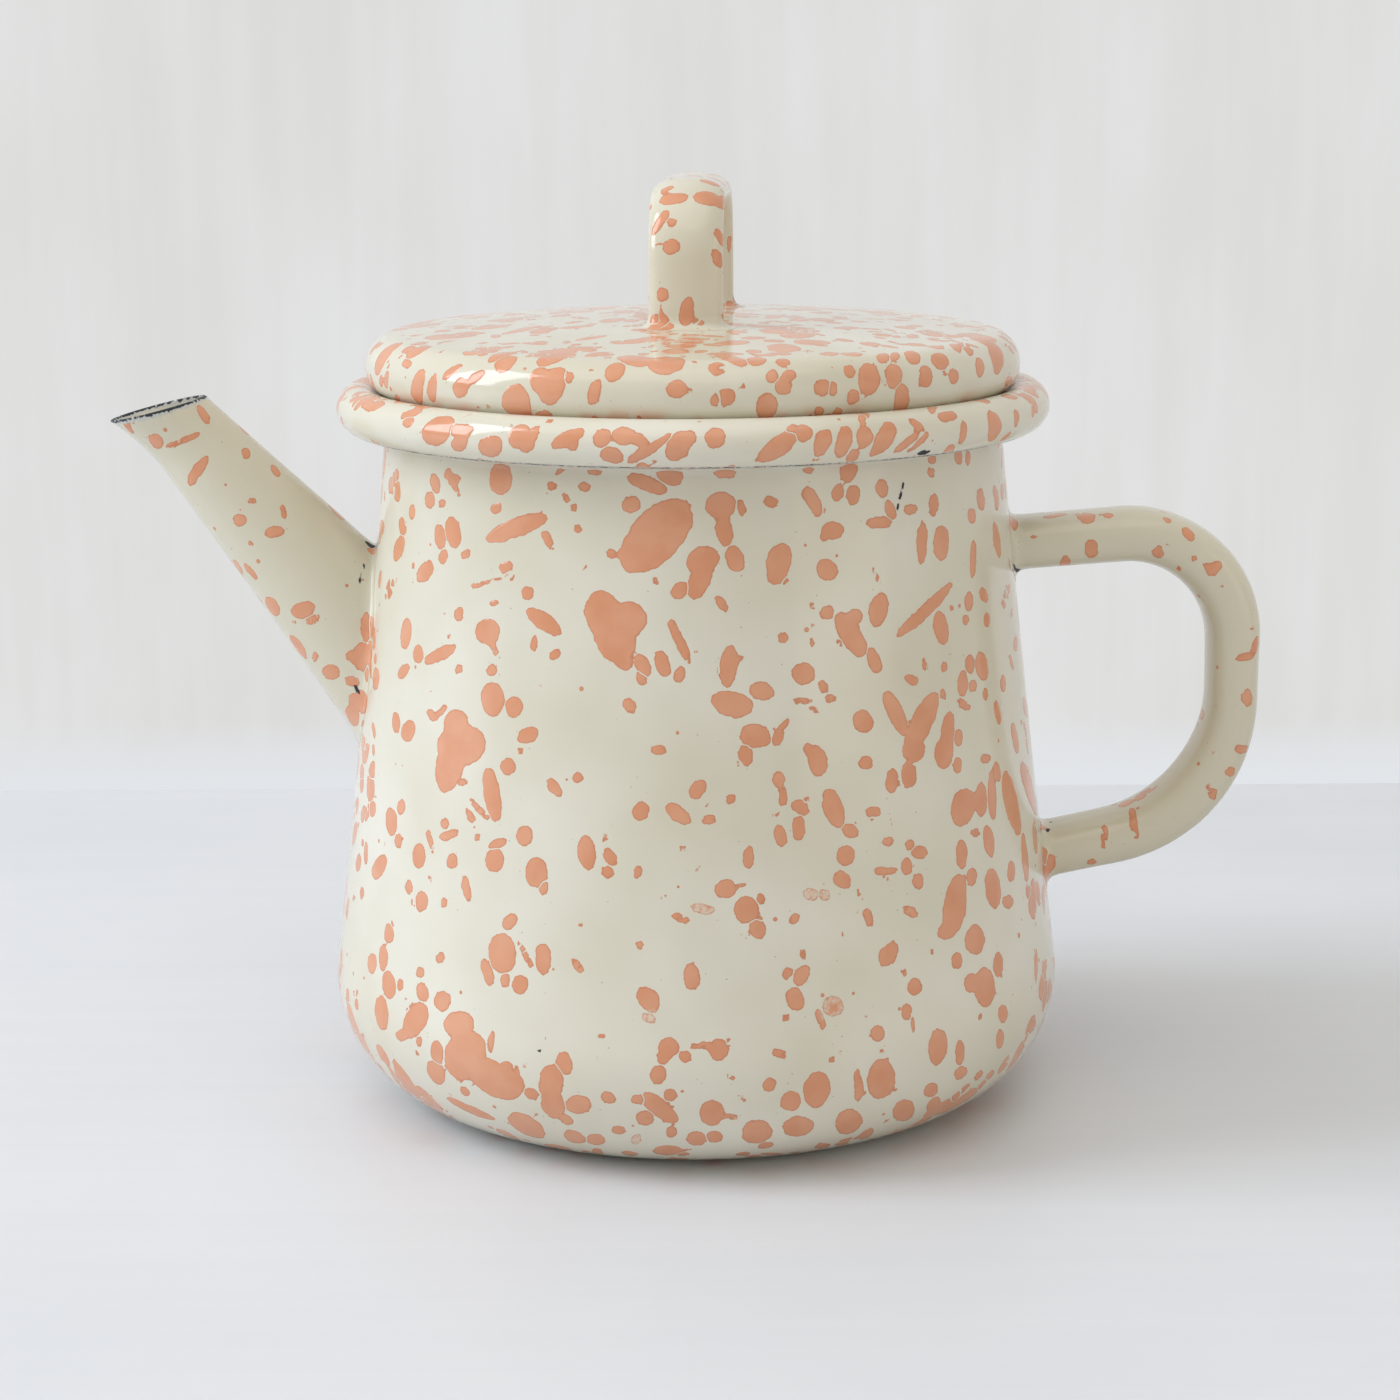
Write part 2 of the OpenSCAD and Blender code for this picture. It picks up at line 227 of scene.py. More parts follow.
def wall_radius(z):
    """Outer radius of the wall at a height."""
    t = (z - wall_foot[1]) / (NECK_Z - wall_foot[1])
    return lerp(wall_foot[0], NECK_R, t) - 4 * WALL_HOLLOW * t * (1 - t)


def wall_points(z, inset=0):
    return np.stack([wall_radius(z) - inset, z], 1)


hollow_r = BEAD_R - SHEET
curl_edge = BEAD_AT + (BEAD_R - SHEET / 2) * np.array(
    [math.cos(math.radians(CURL_END)), math.sin(math.radians(CURL_END))]
)
wall_outline = np.concatenate([
    wall_points(np.arange(SEAM_Z, NECK_Z, OUTER_STEP)),
    straight((NECK_R, NECK_Z), (BEAD_AT[0] - hollow_r, BEAD_AT[1]), ROLL_STEP),
    arc(BEAD_AT, hollow_r, 180, CURL_END, ROLL_STEP),
    arc(curl_edge, SHEET / 2, CURL_END + 180, CURL_END + 360, CURL_STEP)[1:-1],
    arc(BEAD_AT, BEAD_R, CURL_END, WORN_AT - WORN_HALF)[:-1],
    arc(BEAD_AT, BEAD_R, WORN_AT - WORN_HALF, WORN_AT + WORN_HALF, WORN_STEP),
    arc(BEAD_AT, BEAD_R, WORN_AT + WORN_HALF, 180)[1:],
    wall_points(np.arange(NECK_Z, SEAM_Z, -LINING_STEP), SHEET),
    wall_points(np.array([SEAM_Z]), SHEET),
])
print("wall outline:", len(wall_outline), "points, curl edge at", curl_edge.round(1))

# %% [markdown]
# The base is a pressed dish: a wide round corner, a narrow flat ring to stand on, and a panel
# that is pressed up inside it so that the pot doesn't rock.

# %% Turn the wall and the base
FOOT_R = corner_at[0]
FOOT_WIDE = 8
PANEL_R = FOOT_R - FOOT_WIDE
BASE_RISE = 1.2
# The panel's step: how far in its top begins, and the soft corner at its foot
PANEL_SLOPE = 1.5
STEP_FOOT = 0.1
DISH_FROM, DISH_STEP = 0.6, 0.65
AXIS_R = 1

base_outline = np.concatenate([
    straight((AXIS_R, BASE_RISE), (PANEL_R - 2 * PANEL_SLOPE, BASE_RISE), step=3),
    [(PANEL_R - PANEL_SLOPE, BASE_RISE), (PANEL_R, STEP_FOOT), (PANEL_R + 1, 0)],
    straight((PANEL_R + 1, 0), (FOOT_R, 0), step=1.5),
    arc(corner_at, CORNER_R, -90, math.degrees(wall_lean)),
    wall_points(np.arange(wall_foot[1] + DISH_FROM, SEAM_Z, DISH_STEP)),
    wall_points(np.array([SEAM_Z])),
    wall_points(np.array([SEAM_Z]), SHEET),
    arc(corner_at, CORNER_R - SHEET, math.degrees(wall_lean), -90, step=2),
    straight((FOOT_R, SHEET), (PANEL_R, SHEET), step=3),
    straight((PANEL_R, BASE_RISE + SHEET), (AXIS_R, BASE_RISE + SHEET), step=6),
])
pot_wall = turned_mesh("enamelled_wall", wall_outline)
pot_base = turned_mesh("enamelled_base", base_outline, loop=False)

# %% [markdown]
# The lid is pressed from one disc: a very flat dome, a rounded shoulder and an edge that turns
# in under it. A plain ring of sheet is welded inside as a collar, which centres the lid in the
# neck. Both are turned shapes too.

# %% Turn the lid and its collar
DOME_R = 500
SHOULDER_R = 5.5
LID_SIDE = 0.6
HEM_GAP = 0.4
HEM_UNDER = 0.6
# The dome's outline ends this many degrees from the pot's axis
DOME_END = 0.1

lid_edge_r = LID_R - COLLAR_R - HEM_GAP
lid_edge_at = (LID_R - lid_edge_r, LEDGE_Z + lid_edge_r)
shoulder_at = (LID_R - SHOULDER_R, lid_edge_at[1] + LID_SIDE)
dome_at = (0, CROWN_Z - DOME_R)
dome_tilt = math.degrees(math.asin(shoulder_at[0] / (DOME_R - SHOULDER_R)))

lid_outline = np.concatenate([
    arc(dome_at, DOME_R - SHEET, 90 - DOME_END, 90 - dome_tilt, LINING_STEP)[:-1],
    arc(shoulder_at, SHOULDER_R - SHEET, 90 - dome_tilt, 0),
    arc(lid_edge_at, lid_edge_r - SHEET, 0, -90),
    [(COLLAR_R - HEM_UNDER, LEDGE_Z + SHEET), (COLLAR_R - HEM_UNDER, LEDGE_Z)],
    arc(lid_edge_at, lid_edge_r, -90, 0),
    arc(shoulder_at, SHOULDER_R, 0, 90 - dome_tilt),
    arc(dome_at, DOME_R, 90 - dome_tilt, 90 - DOME_END)[1:],
])
collar_end = COLLAR_LOW + SHEET / 2
collar_outline = np.concatenate([
    straight((COLLAR_R - SHEET, LEDGE_Z + SHEET), (COLLAR_R - SHEET, collar_end), step=2),
    arc((COLLAR_R - SHEET / 2, collar_end), SHEET / 2, 180, 360, CURL_STEP),
    straight((COLLAR_R, collar_end), (COLLAR_R, LEDGE_Z + SHEET), step=1),
])
lid_cap = turned_mesh("enamelled_lid", lid_outline, loop=False)
lid_collar = turned_mesh("enamelled_lid_collar", collar_outline)

# %% [markdown]
# Spout, handle and strap stand on curved surfaces. Each such surface is a function that says
# how high a point lies above it, and a few steps along a line find where the line meets it.

# %% Where lines meet the wall or the lid's dome
SECANT_STEPS = 12


def wall_gap(p):
    return np.hypot(p[..., 0], p[..., 1]) - wall_radius(p[..., 2])


def dome_gap(p):
    return np.linalg.norm(p - np.array([0, 0, dome_at[1]]), axis=-1) - DOME_R


def meets(gap, start, along, level=0.0):
    """Points at which lines come to a height above a surface, found by secant steps."""
    point = start.copy()
    for _ in range(SECANT_STEPS):
        error = gap(point) - level
        slope = gap(point + along) - level - error
        point = point - along * (error / slope)[..., None]
    return point


def slope_of(gap, p, e=0.01):
    """Unit normal of the surface at points on or near it."""
    steps = np.eye(3) * e
    grad = np.stack([gap(p + d) - gap(p - d) for d in steps], -1)
    return grad / np.linalg.norm(grad, axis=-1, keepdims=True)


level_line = meets(wall_gap, np.array([[BELLY_R, 0.0, NECK_Z / 2]]), np.array([-1.0, 0, 0]))
print("a level line at half the height meets the wall at", level_line[0].round(1))

# %% [markdown]
# The spout is a tapered tube, cut at a slant for its mouth. Its lip is turned down at the
# front and opens a little to each side, so that coffee leaves in a clean stream. Its rings are
# a formula of how far along the spout they lie.

# %% Shape of the spout
SPOUT_Z = 82
SPOUT_SLOPE = math.radians(49.7)
SPOUT_LEN = 53.7
SPOUT_ROOT_R = 12.45
SPOUT_TIP_R = 6.5
LIP_SHARE = 0.2
LIP_DROP = 2.5
LIP_SIDE = 1.7
LIP_SHEET = 0.6
THIN_FROM = 0.75
MOUTH_CUT = math.radians(26.4)
SLANT_FROM = 0.4
SPOUT_AROUND = 120

spout_along = np.array([-math.cos(SPOUT_SLOPE), 0, math.sin(SPOUT_SLOPE)])
spout_across = np.array([math.sin(SPOUT_SLOPE), 0, math.cos(SPOUT_SLOPE)])
spout_root = np.array([-wall_radius(SPOUT_Z), 0, SPOUT_Z])
spout_turn = np.linspace(0, 2 * math.pi, SPOUT_AROUND, endpoint=False)


def spout_points(share, inset=0.0):
    """One turn round the spout, at a share of its length for each point."""
    radius = lerp(SPOUT_ROOT_R, SPOUT_TIP_R, share) - inset
    flare = np.maximum(0, 1 - (1 - share) / LIP_SHARE) ** 2
    across = radius * np.cos(spout_turn) - LIP_DROP * flare * (1 - np.cos(spout_turn)) / 2
    slant = np.maximum(0, share - SLANT_FROM) / (1 - SLANT_FROM)
    reach = share * SPOUT_LEN - across * math.tan(MOUTH_CUT) * slant
    side = (radius + LIP_SIDE * flare) * np.sin(spout_turn)
    ring = spout_root + reach[:, None] * spout_along + across[:, None] * spout_across
    ring[:, 1] += side
    return ring


print("the spout narrows from", 2 * SPOUT_ROOT_R, "to", 2 * SPOUT_TIP_R, "mm")

# %% [markdown]
# Where each line along the spout leaves the wall is found by halving a stretch of the line
# that holds the place. The tube then runs out from there, round its lip, and back inside.

# %% Run the spout from the wall to its lip and back
# The wall lies between these shares of the length, and each halving closes in on it
WALL_FROM, WALL_TO, HALVINGS = -0.4, 0.6, 30
OUTER_RINGS, LIP_RINGS, INNER_RINGS = 76, 5, 40
ROOT_SUNK = 0.4
BORE_SUNK = 0.1


def share_at_wall(inset, level):
    """Share of the spout's length at which each line along it comes to a height above the wall."""
    low, high = np.full(SPOUT_AROUND, WALL_FROM), np.full(SPOUT_AROUND, WALL_TO)
    for _ in range(HALVINGS):
        middle = (low + high) / 2
        beyond = wall_gap(spout_points(middle, inset)) > level
        low, high = np.where(beyond, low, middle), np.where(beyond, middle, high)
    return high


def sheet_at(share):
    """Thickness of the spout's sheet, which was filed back towards the mouth."""
    return lerp(SHEET, LIP_SHEET, np.clip((share - THIN_FROM) / (1 - THIN_FROM), 0, 1))


outer_start = share_at_wall(0, -ROOT_SUNK)
inner_start = share_at_wall(SHEET, -SHEET - BORE_SUNK)
steps = np.linspace(0, 1, OUTER_RINGS)
spout_rings = [spout_points(outer_start + (1 - outer_start) * t) for t in steps]
mouth = np.ones(SPOUT_AROUND)
outer_lip, inner_lip = spout_points(mouth), spout_points(mouth, LIP_SHEET)
lip_middle = (outer_lip + inner_lip) / 2
lip_across = (outer_lip - inner_lip) / 2
for turn in np.radians(np.linspace(30, 150, LIP_RINGS)):
    spout_rings.append(
        lip_middle + lip_across * math.cos(turn) + LIP_SHEET / 2 * math.sin(turn) * spout_along
    )
for t in np.linspace(1, 0, INNER_RINGS):
    share = inner_start + (1 - inner_start) * t
    spout_rings.append(spout_points(share, sheet_at(share)))
spout_tube = ringed_mesh("enamelled_spout", spout_rings)

# %% [markdown]
# The pot pours through a port in the wall behind the spout. Seen from above with the lid off it
# is a dark oval, so it is really cut, with a cone as wide as the spout's bore.

# %% Cut the port through the wall
PORT_PLAY = 0.15
PORT_REACH = 0.1


def cut_away(piece, cutter):
    """Cut one piece by another, which is used up."""
    modifier = piece.modifiers.new("cut", "BOOLEAN")
    modifier.operation = "DIFFERENCE"
    modifier.solver = "EXACT"
    modifier.object = cutter
    ready = piece.evaluated_get(bpy.context.evaluated_depsgraph_get())
    mesh = bpy.data.meshes.new_from_object(ready)
    piece.modifiers.clear()
    old = piece.data
    piece.data = mesh
    mesh.name = piece.name
    bpy.data.meshes.remove(old)
    bpy.data.objects.remove(cutter)
    face_out(mesh)


port_shares = np.linspace(inner_start.min() - PORT_REACH, inner_start.max() + PORT_REACH, 3)
port = ringed_mesh("port", [spout_points(s, SHEET - PORT_PLAY) for s in port_shares], loop=False)
whole = len(pot_wall.data.vertices)
cut_away(pot_wall, port)
print("corners of the wall before and after its port is cut:", whole, len(pot_wall.data.vertices))

# %% [markdown]
# Where one part is welded to another, the enamel runs into the corner and rounds it off. Such
# a fillet is one curved band: it starts flat on the surface, ends flat on the part, and both
# of its edges are sunk a little, so that the eye finds no border.

# %% Fillets where a part stands on a surface
FILLET_PROUD = 0.05
FILLET_SUNK = 0.5
FILLET_RINGS = 9


def fillet(name, gap, root, out, along, reach, rise):
    """Concave band round roots, from the surface with this slope up along the part."""
    normal = slope_of(gap, root)
    side = out - (out * normal).sum(-1, keepdims=True) * normal
    side /= np.linalg.norm(side, axis=-1, keepdims=True)
    far = root + reach * side
    far = far - gap(far)[:, None] * slope_of(gap, far)
    low_normal = slope_of(gap, far)
    low = far + FILLET_PROUD * low_normal
    high = root + rise * along + FILLET_PROUD * out
    middle = root + FILLET_PROUD * (normal + out)
    rings = []
    for t in np.linspace(0, 1, FILLET_RINGS):
        rings.append((1 - t) ** 2 * low + 2 * t * (1 - t) * middle + t * t * high)
    rings.append(high - FILLET_SUNK * out)
    rings.append(root - FILLET_SUNK * (out + normal))
    rings.append(low - FILLET_SUNK * low_normal)
    return ringed_mesh(name, rings)


SPOUT_FILLET_RISE = 3.2
LINE_SHARE = 0.1
SPOUT_FILLET_REACH = 1.6
seam_share = share_at_wall(0, 0)
spout_seam = spout_points(seam_share)
spout_lines = spout_points(seam_share + LINE_SHARE) - spout_seam
spout_lines /= np.linalg.norm(spout_lines, axis=-1, keepdims=True)
spout_out = np.cos(spout_turn)[:, None] * spout_across
spout_out[:, 1] += np.sin(spout_turn)
spout_collar = fillet(
    "enamelled_spout_weld", wall_gap, spout_seam, spout_out, spout_lines,
    SPOUT_FILLET_REACH, SPOUT_FILLET_RISE,
)

# %% [markdown]
# Handle and lid strap are sheet rolled to a flat tube and bent. Their section is a
# superellipse, which has no seam between flat and corner, so that a highlight runs over it
# without a break.

# %% Sections of the two straps
FINE_COUNT = 4001


def superellipse(half_thick, half_wide, power, count=64):
    """Even points round the section, as [across its thickness, across its width], and normals."""
    fine = np.linspace(0, 2 * math.pi, FINE_COUNT)
    c, s = np.cos(fine), np.sin(fine)
    x = half_thick * np.sign(c) * np.abs(c) ** (2 / power)
    y = half_wide * np.sign(s) * np.abs(s) ** (2 / power)
    length = np.concatenate([[0], np.cumsum(np.hypot(np.diff(x), np.diff(y)))])
    at = np.linspace(0, length[-1], count, endpoint=False)
    x, y = np.interp(at, length, x), np.interp(at, length, y)
    nx = np.sign(x) * np.abs(x / half_thick) ** (power - 1) / half_thick
    ny = np.sign(y) * np.abs(y / half_wide) ** (power - 1) / half_wide
    normal = np.stack([nx, ny], -1)
    return np.stack([x, y], -1), normal / np.linalg.norm(normal, axis=-1, keepdims=True)


def bend(centre, radius, start, end, step=0.8):
    """Stations [x, z, direction in degrees] round a bend that is walked clockwise."""
    points = arc(centre, radius, start, end, step)
    turn = np.linspace(start, end, len(points)) - 90
    return np.concatenate([points, turn[:, None]], 1)


def level_run(start, end, direction, step=0.8):
    points = straight(start, end, step)
    return np.concatenate([points, np.full((len(points), 1), direction)], 1)


def ring_at(station, section, half_thick=1.0):
    """The section, placed square to the middle line in the XZ plane at a station."""
    x, z, direction = station
    turn = math.radians(direction)
    across = section[:, 0] * half_thick
    return np.stack([x - across * math.sin(turn), -section[:, 1], z + across * math.cos(turn)], -1)


ellipse, _ = superellipse(1.0, 2.0, 2, 8)
print("eight even points round an ellipse:", ellipse.round(2).tolist())

# %% [markdown]
# The handle's middle line is a slightly rising arm, a tight upper bend, a short upright grip,
# a wider lower bend, and a leg that runs back to the wall.

# %% Middle line of the handle
ARM_Z = 98
ARM_SLOPE = 4.3
ARM_REACH = 75.8
UPPER_BEND_R = 18.8
GRIP_LEN = 10
LOWER_BEND_R = 26.9
LEG_SLOPE = 11.7
LEG_ROOT_X = BELLY_R - 6
# The middle line stops this far from the wall, and straight rings carry it on
ARM_STOP = 5
LEG_STOP = 10

arm_slope, leg_slope = math.radians(ARM_SLOPE), math.radians(LEG_SLOPE)
arm_start = np.array([wall_radius(ARM_Z), ARM_Z])
arm_end = np.array([ARM_REACH, ARM_Z + (ARM_REACH - arm_start[0]) * math.tan(arm_slope)])
upper_bend = arm_end + UPPER_BEND_R * np.array([math.sin(arm_slope), -math.cos(arm_slope)])
grip_x = upper_bend[0] + UPPER_BEND_R
lower_bend = np.array([grip_x - LOWER_BEND_R, upper_bend[1] - GRIP_LEN])
leg_start = lower_bend + LOWER_BEND_R * np.array([math.sin(leg_slope), -math.cos(leg_slope)])
leg_end = leg_start - (leg_start[0] - LEG_ROOT_X) * np.array([1, math.tan(leg_slope)])

handle_stations = np.concatenate([
    level_run(arm_start + [ARM_STOP, ARM_STOP * math.tan(arm_slope)], arm_end, ARM_SLOPE),
    bend(upper_bend, UPPER_BEND_R, 90 + ARM_SLOPE, 0),
    level_run((grip_x, upper_bend[1]), (grip_x, lower_bend[1]), -90),
    bend(lower_bend, LOWER_BEND_R, 0, LEG_SLOPE - 90),
    level_run(leg_start, leg_end + [LEG_STOP, LEG_STOP * math.tan(leg_slope)], LEG_SLOPE - 180),
])
walked = np.concatenate([[0], np.cumsum(np.hypot(*np.diff(handle_stations[:, :2], axis=0).T))])
print("the handle's middle line:", len(walked), "stations,", round(walked[-1]), "mm")

# %% [markdown]
# The strap is squeezed fuller in its bends than at its grip, so its thickness changes along
# the line. Its two ends are carried on, ring by ring, until they dip into the wall.

# %% Build the handle
HANDLE_W = 15
HANDLE_POWER = 2.7
# Half the strap's thickness at stages along it
THICK_AT = [0, 0.18, 0.36, 0.46, 0.56, 0.74, 0.9, 1]
HALF_THICK = [4.6, 4.7, 5.1, 4.6, 4.3, 5.1, 4.7, 4.5]
BLEND_STATIONS = 12

handle_section, handle_normal = superellipse(1.0, HANDLE_W / 2, HANDLE_POWER)
thick = np.interp(walked / walked[-1], THICK_AT, HALF_THICK)
window = 2 * BLEND_STATIONS + 1
thick = np.convolve(np.pad(thick, BLEND_STATIONS, mode="edge"), np.ones(window) / window, mode="valid")
handle_rings = [ring_at(s, handle_section, t) for s, t in zip(handle_stations, thick)]


def direction_of(degrees):
    return np.array([math.cos(math.radians(degrees)), 0, math.sin(math.radians(degrees))])


def run_to_surface(gap, ring, along, level=-0.5, count=6):
    """Rings from a surface, a little below it, up to the given ring."""
    root = meets(gap, ring, along, level)
    return [root + (ring - root) * t for t in np.linspace(0, 1, count, endpoint=False)]


handle_rings = (
    run_to_surface(wall_gap, handle_rings[0], direction_of(ARM_SLOPE))
    + handle_rings
    + run_to_surface(wall_gap, handle_rings[-1], direction_of(LEG_SLOPE))[::-1]
)
handle = ringed_mesh("enamelled_handle", handle_rings, loop=False)

# %% [markdown]
# The same fillet rounds off the corner where each end of the handle meets the wall. It needs
# the way that the strap's skin faces, which the section's normals give.

# %% Fillets at the handle's two roots
HANDLE_FILLET = 2.2


def strap_out(normal, half_thick, direction):
    """Outward normals of a strap's section, in space."""
    turn = math.radians(direction)
    nx, ny = normal[:, 0] / half_thick, normal[:, 1]
    length = np.hypot(nx, ny)
    nx, ny = nx / length, ny / length
    return np.stack([-nx * math.sin(turn), -ny, nx * math.cos(turn)], -1)


def handle_fillet(name, ring, half_thick, direction, along):
    root = meets(wall_gap, ring, along)
    out = strap_out(handle_normal, half_thick, direction)
    return fillet(name, wall_gap, root, out, along, HANDLE_FILLET, HANDLE_FILLET)


upper_weld = handle_fillet(
    "enamelled_handle_weld_upper", ring_at(handle_stations[0], handle_section, thick[0]),
    thick[0], ARM_SLOPE, direction_of(ARM_SLOPE),
)
lower_weld = handle_fillet(
    "enamelled_handle_weld_lower", ring_at(handle_stations[-1], handle_section, thick[-1]),
    thick[-1], LEG_SLOPE - 180, direction_of(LEG_SLOPE),
)

# %% [markdown]
# The lid's strap is a small arch of the same kind. It is drawn in the plane of the handle and
# then turned to run from front to back, a few degrees off, as the loose lid lies.

# %% Build the lid's strap and the fillets at its feet
LID_TURN = -3
STRAP_SPAN = 47
STRAP_BEND_R = 10.5
STRAP_W = 12.6
STRAP_T = 5.6
STRAP_POWER = 2.15
STRAP_AROUND = 56
STRAP_FILLET = 2.2
# The arch's legs are drawn down to this height above the crown
LEG_FROM = 3
UP = np.array([0.0, 0.0, 1.0])

strap_leg = (STRAP_SPAN - STRAP_T) / 2
bend_x = strap_leg - STRAP_BEND_R
bend_z = STRAP_TOP - STRAP_T / 2 - STRAP_BEND_R
strap_section, strap_normal = superellipse(STRAP_T / 2, STRAP_W / 2, STRAP_POWER, STRAP_AROUND)
strap_stations = np.concatenate([
    level_run((-strap_leg, CROWN_Z + LEG_FROM), (-strap_leg, bend_z), 90),
    bend((-bend_x, bend_z), STRAP_BEND_R, 180, 90),
    level_run((-bend_x, bend_z + STRAP_BEND_R), (bend_x, bend_z + STRAP_BEND_R), 0),
    bend((bend_x, bend_z), STRAP_BEND_R, 90, 0),
    level_run((strap_leg, bend_z), (strap_leg, CROWN_Z + LEG_FROM), -90),
])
strap_turn = np.array(Matrix.Rotation(math.radians(90 + LID_TURN), 3, "Z"))
strap_rings = [ring_at(s, strap_section) for s in strap_stations]
strap_rings = (
    run_to_surface(dome_gap, strap_rings[0], UP)
    + strap_rings
    + run_to_surface(dome_gap, strap_rings[-1], UP)[::-1]
)
lid_strap = ringed_mesh("enamelled_lid_strap", np.array(strap_rings) @ strap_turn.T, loop=False)


def strap_foot(name, station):
    root = meets(dome_gap, ring_at(station, strap_section), UP) @ strap_turn.T
    out = strap_out(strap_normal, 1.0, station[2]) @ strap_turn.T
    return fillet(name, dome_gap, root, out, UP, STRAP_FILLET, STRAP_FILLET)


front_foot = strap_foot("enamelled_strap_weld_front", strap_stations[0])
back_foot = strap_foot("enamelled_strap_weld_back", strap_stations[-1])

# %% [markdown]
# Every piece stands for one part of the frame and moves with its body: the lid's pieces lift
# off with the lid, the rest stay with the pot.

# %% Pieces, the parts that they stand for, and what they ride on
PIECES = [
    (pot_wall, "pot_wall", "enamel_body", "pot"),
    (pot_base, "pot_base", "enamel_body", "pot"),
    (spout_tube, "spout_tube", "enamel_spout", "pot"),
    (spout_collar, "spout_collar", "enamel_spout", "pot"),
    (handle, "handle_strap", "enamel_handle", "pot"),
    (upper_weld, "handle_weld_upper", "enamel_handle", "pot"),
    (lower_weld, "handle_weld_lower", "enamel_handle", "pot"),
    (lid_cap, "lid_cap", "enamel_lid", "lid"),
    (lid_collar, "lid_collar", "enamel_lid", "lid"),
    (lid_strap, "lid_strap", "enamel_strap", "lid"),
    (front_foot, "lid_strap_weld_front", "enamel_strap", "lid"),
    (back_foot, "lid_strap_weld_back", "enamel_strap", "lid"),
]
for piece, part, slot, body in PIECES:
    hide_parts(part)
    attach(piece, body)
print(len(PIECES), "pieces")

# %% [markdown]
# The second colour is salmon enamel that is flicked at the pot with a brush before the last
# firing. Large drops are placed one by one, as they are seen in the square frame: across,
# down, length, width, and lean in degrees, with drops that ran into each other joined by +
# and a word for those so thin that the cream shows through.
# A ray through the middle of each finds the surface that it lies on.

# %% Large drops, as seen by the camera
UPPER_WALL_LEFT = """
396 487 30 10 -83, 435 484 21 10 -78, 430 500 18 10 85, 442 503 9 7 60, 501 479 33 23 88,
448 474 11 8 80 + 455 479 10 8 0 + 456 489 26 4 -62, 496 508 12 9 45, 516 528 66 19 20,
548 540 23 10 -62, 425 572 23 14 60, 440 537 25 11 -85, 453 533 31 15 -80, 443 557 15 9 80,
466 554 12 9 35, 399 548 25 10 75, 402 526 19 7 -80, 412 512 16 6 88, 389 590 23 9 72,
406 633 31 11 85, 418 654 18 10 -88, 440 654 36 13 28, 404 671 15 9 50, 408 731 23 14 80,
396 722 21 8 -85, 487 632 25 24 0 + 493 647 26 6 -62, 506 567 14 12 0, 485 583 30 4 17,
494 603 11 7 15, 528 593 14 12 80, 544 622 44 15 -35, 534 643 17 8 85, 555 655 14 10 40,
604 614 46 38 -70 + 628 620 38 38 0 + 615 637 54 40 -65 + 621 655 34 20 -60,
656 536 92 50 48, 680 642 47 9 -66, 642 664 25 14 -60, 663 663 28 15 -70, 680 674 19 13 75,
641 678 14 8 -65, 631 504 20 18 20, 647 484 43 15 -20, 670 476 27 17 -15,
702 560 34 26 30 + 700 580 40 20 65, 680 590 19 15 50, 492 699 34 23 88, 514 707 22 16 85,
455 722 24 22 0 + 460 745 50 42 10 + 472 748 24 22 0 + 449 765 56 28 80 + 464 782 11 9 0,
528 735 22 15 25, 432 716 14 7 -50 + 441 712 16 7 50, 459 614 13 9 85, 459 669 11 8 80,
492 670 12 10 85, 630 706 15 10 -55, 658 750 16 9 -10, 578 529 10 8 -40, 611 554 12 8 -20,
566 498 10 6 -60, 585 487 12 8 -10, 551 486 10 7 -10, 595 470 17 10 0, 562 469 16 6 30
"""
UPPER_WALL_RIGHT = """
725 472 24 12 0, 721 506 30 27 0 + 724 532 30 17 -75, 735 558 27 16 -70, 742 509 18 9 -75,
771 502 16 13 -20, 779 564 42 24 75 + 771 562 12 10 90, 786 580 10 4 50, 783 638 12 10 0,
722 604 20 10 -60, 729 667 43 17 85 + 740 658 9 5 0, 732 704 44 25 -12, 762 691 27 19 -12,
755 736 31 24 -10, 778 737 17 10 80 + 785 724 12 5 50, 746 755 23 14 -75,
812 501 33 14 -65 + 804 494 10 7 90, 834 531 20 18 0 + 824 534 16 7 75, 827 570 22 20 -30,
827 613 14 14 0, 851 635 50 22 -58 + 854 617 18 16 0, 839 643 10 7 -60, 874 660 27 14 -75,
879 609 36 18 80 + 877 577 22 5 -65, 801 701 19 6 0, 804 674 24 22 -20, 823 687 13 8 -70,
831 699 13 8 0, 814 710 10 6 -25, 812 643 11 4 -65, 863 721 23 19 -60,
896 713 50 16 -65 + 921 725 72 21 65 + 915 750 26 20 90, 948 731 39 12 85 + 944 753 31 18 85,
959 738 18 8 90, 912 680 15 9 -25, 925 665 16 6 -75, 944 667 10 6 90, 943 694 12 6 -70,
927 609 80 13 44, 941 627 33 14 -80, 941 543 36 16 88, 922 543 41 11 88, 879 523 26 13 0,
890 510 20 9 -70, 911 509 15 12 0, 882 488 19 14 90, 934 505 22 10 88, 849 470 26 17 80,
853 495 21 14 88, 838 493 18 12 88, 808 469 13 10 0, 932 459 12 10 90, 931 472 12 8 -60,
958 456 17 9 90, 968 458 13 5 90, 972 516 16 8 -85, 981 500 23 8 -85, 997 540 38 9 -82,
973 559 35 6 88, 969 602 18 8 90, 987 620 15 8 90, 966 620 10 7 90, 984 595 15 8 -70,
970 664 19 9 90, 982 666 29 12 -80, 963 683 26 10 88, 973 686 11 8 90, 964 705 16 7 -40,
985 694 13 6 90, 998 713 23 7 -80, 1003 683 15 7 90, 1015 738 32 8 -80
"""
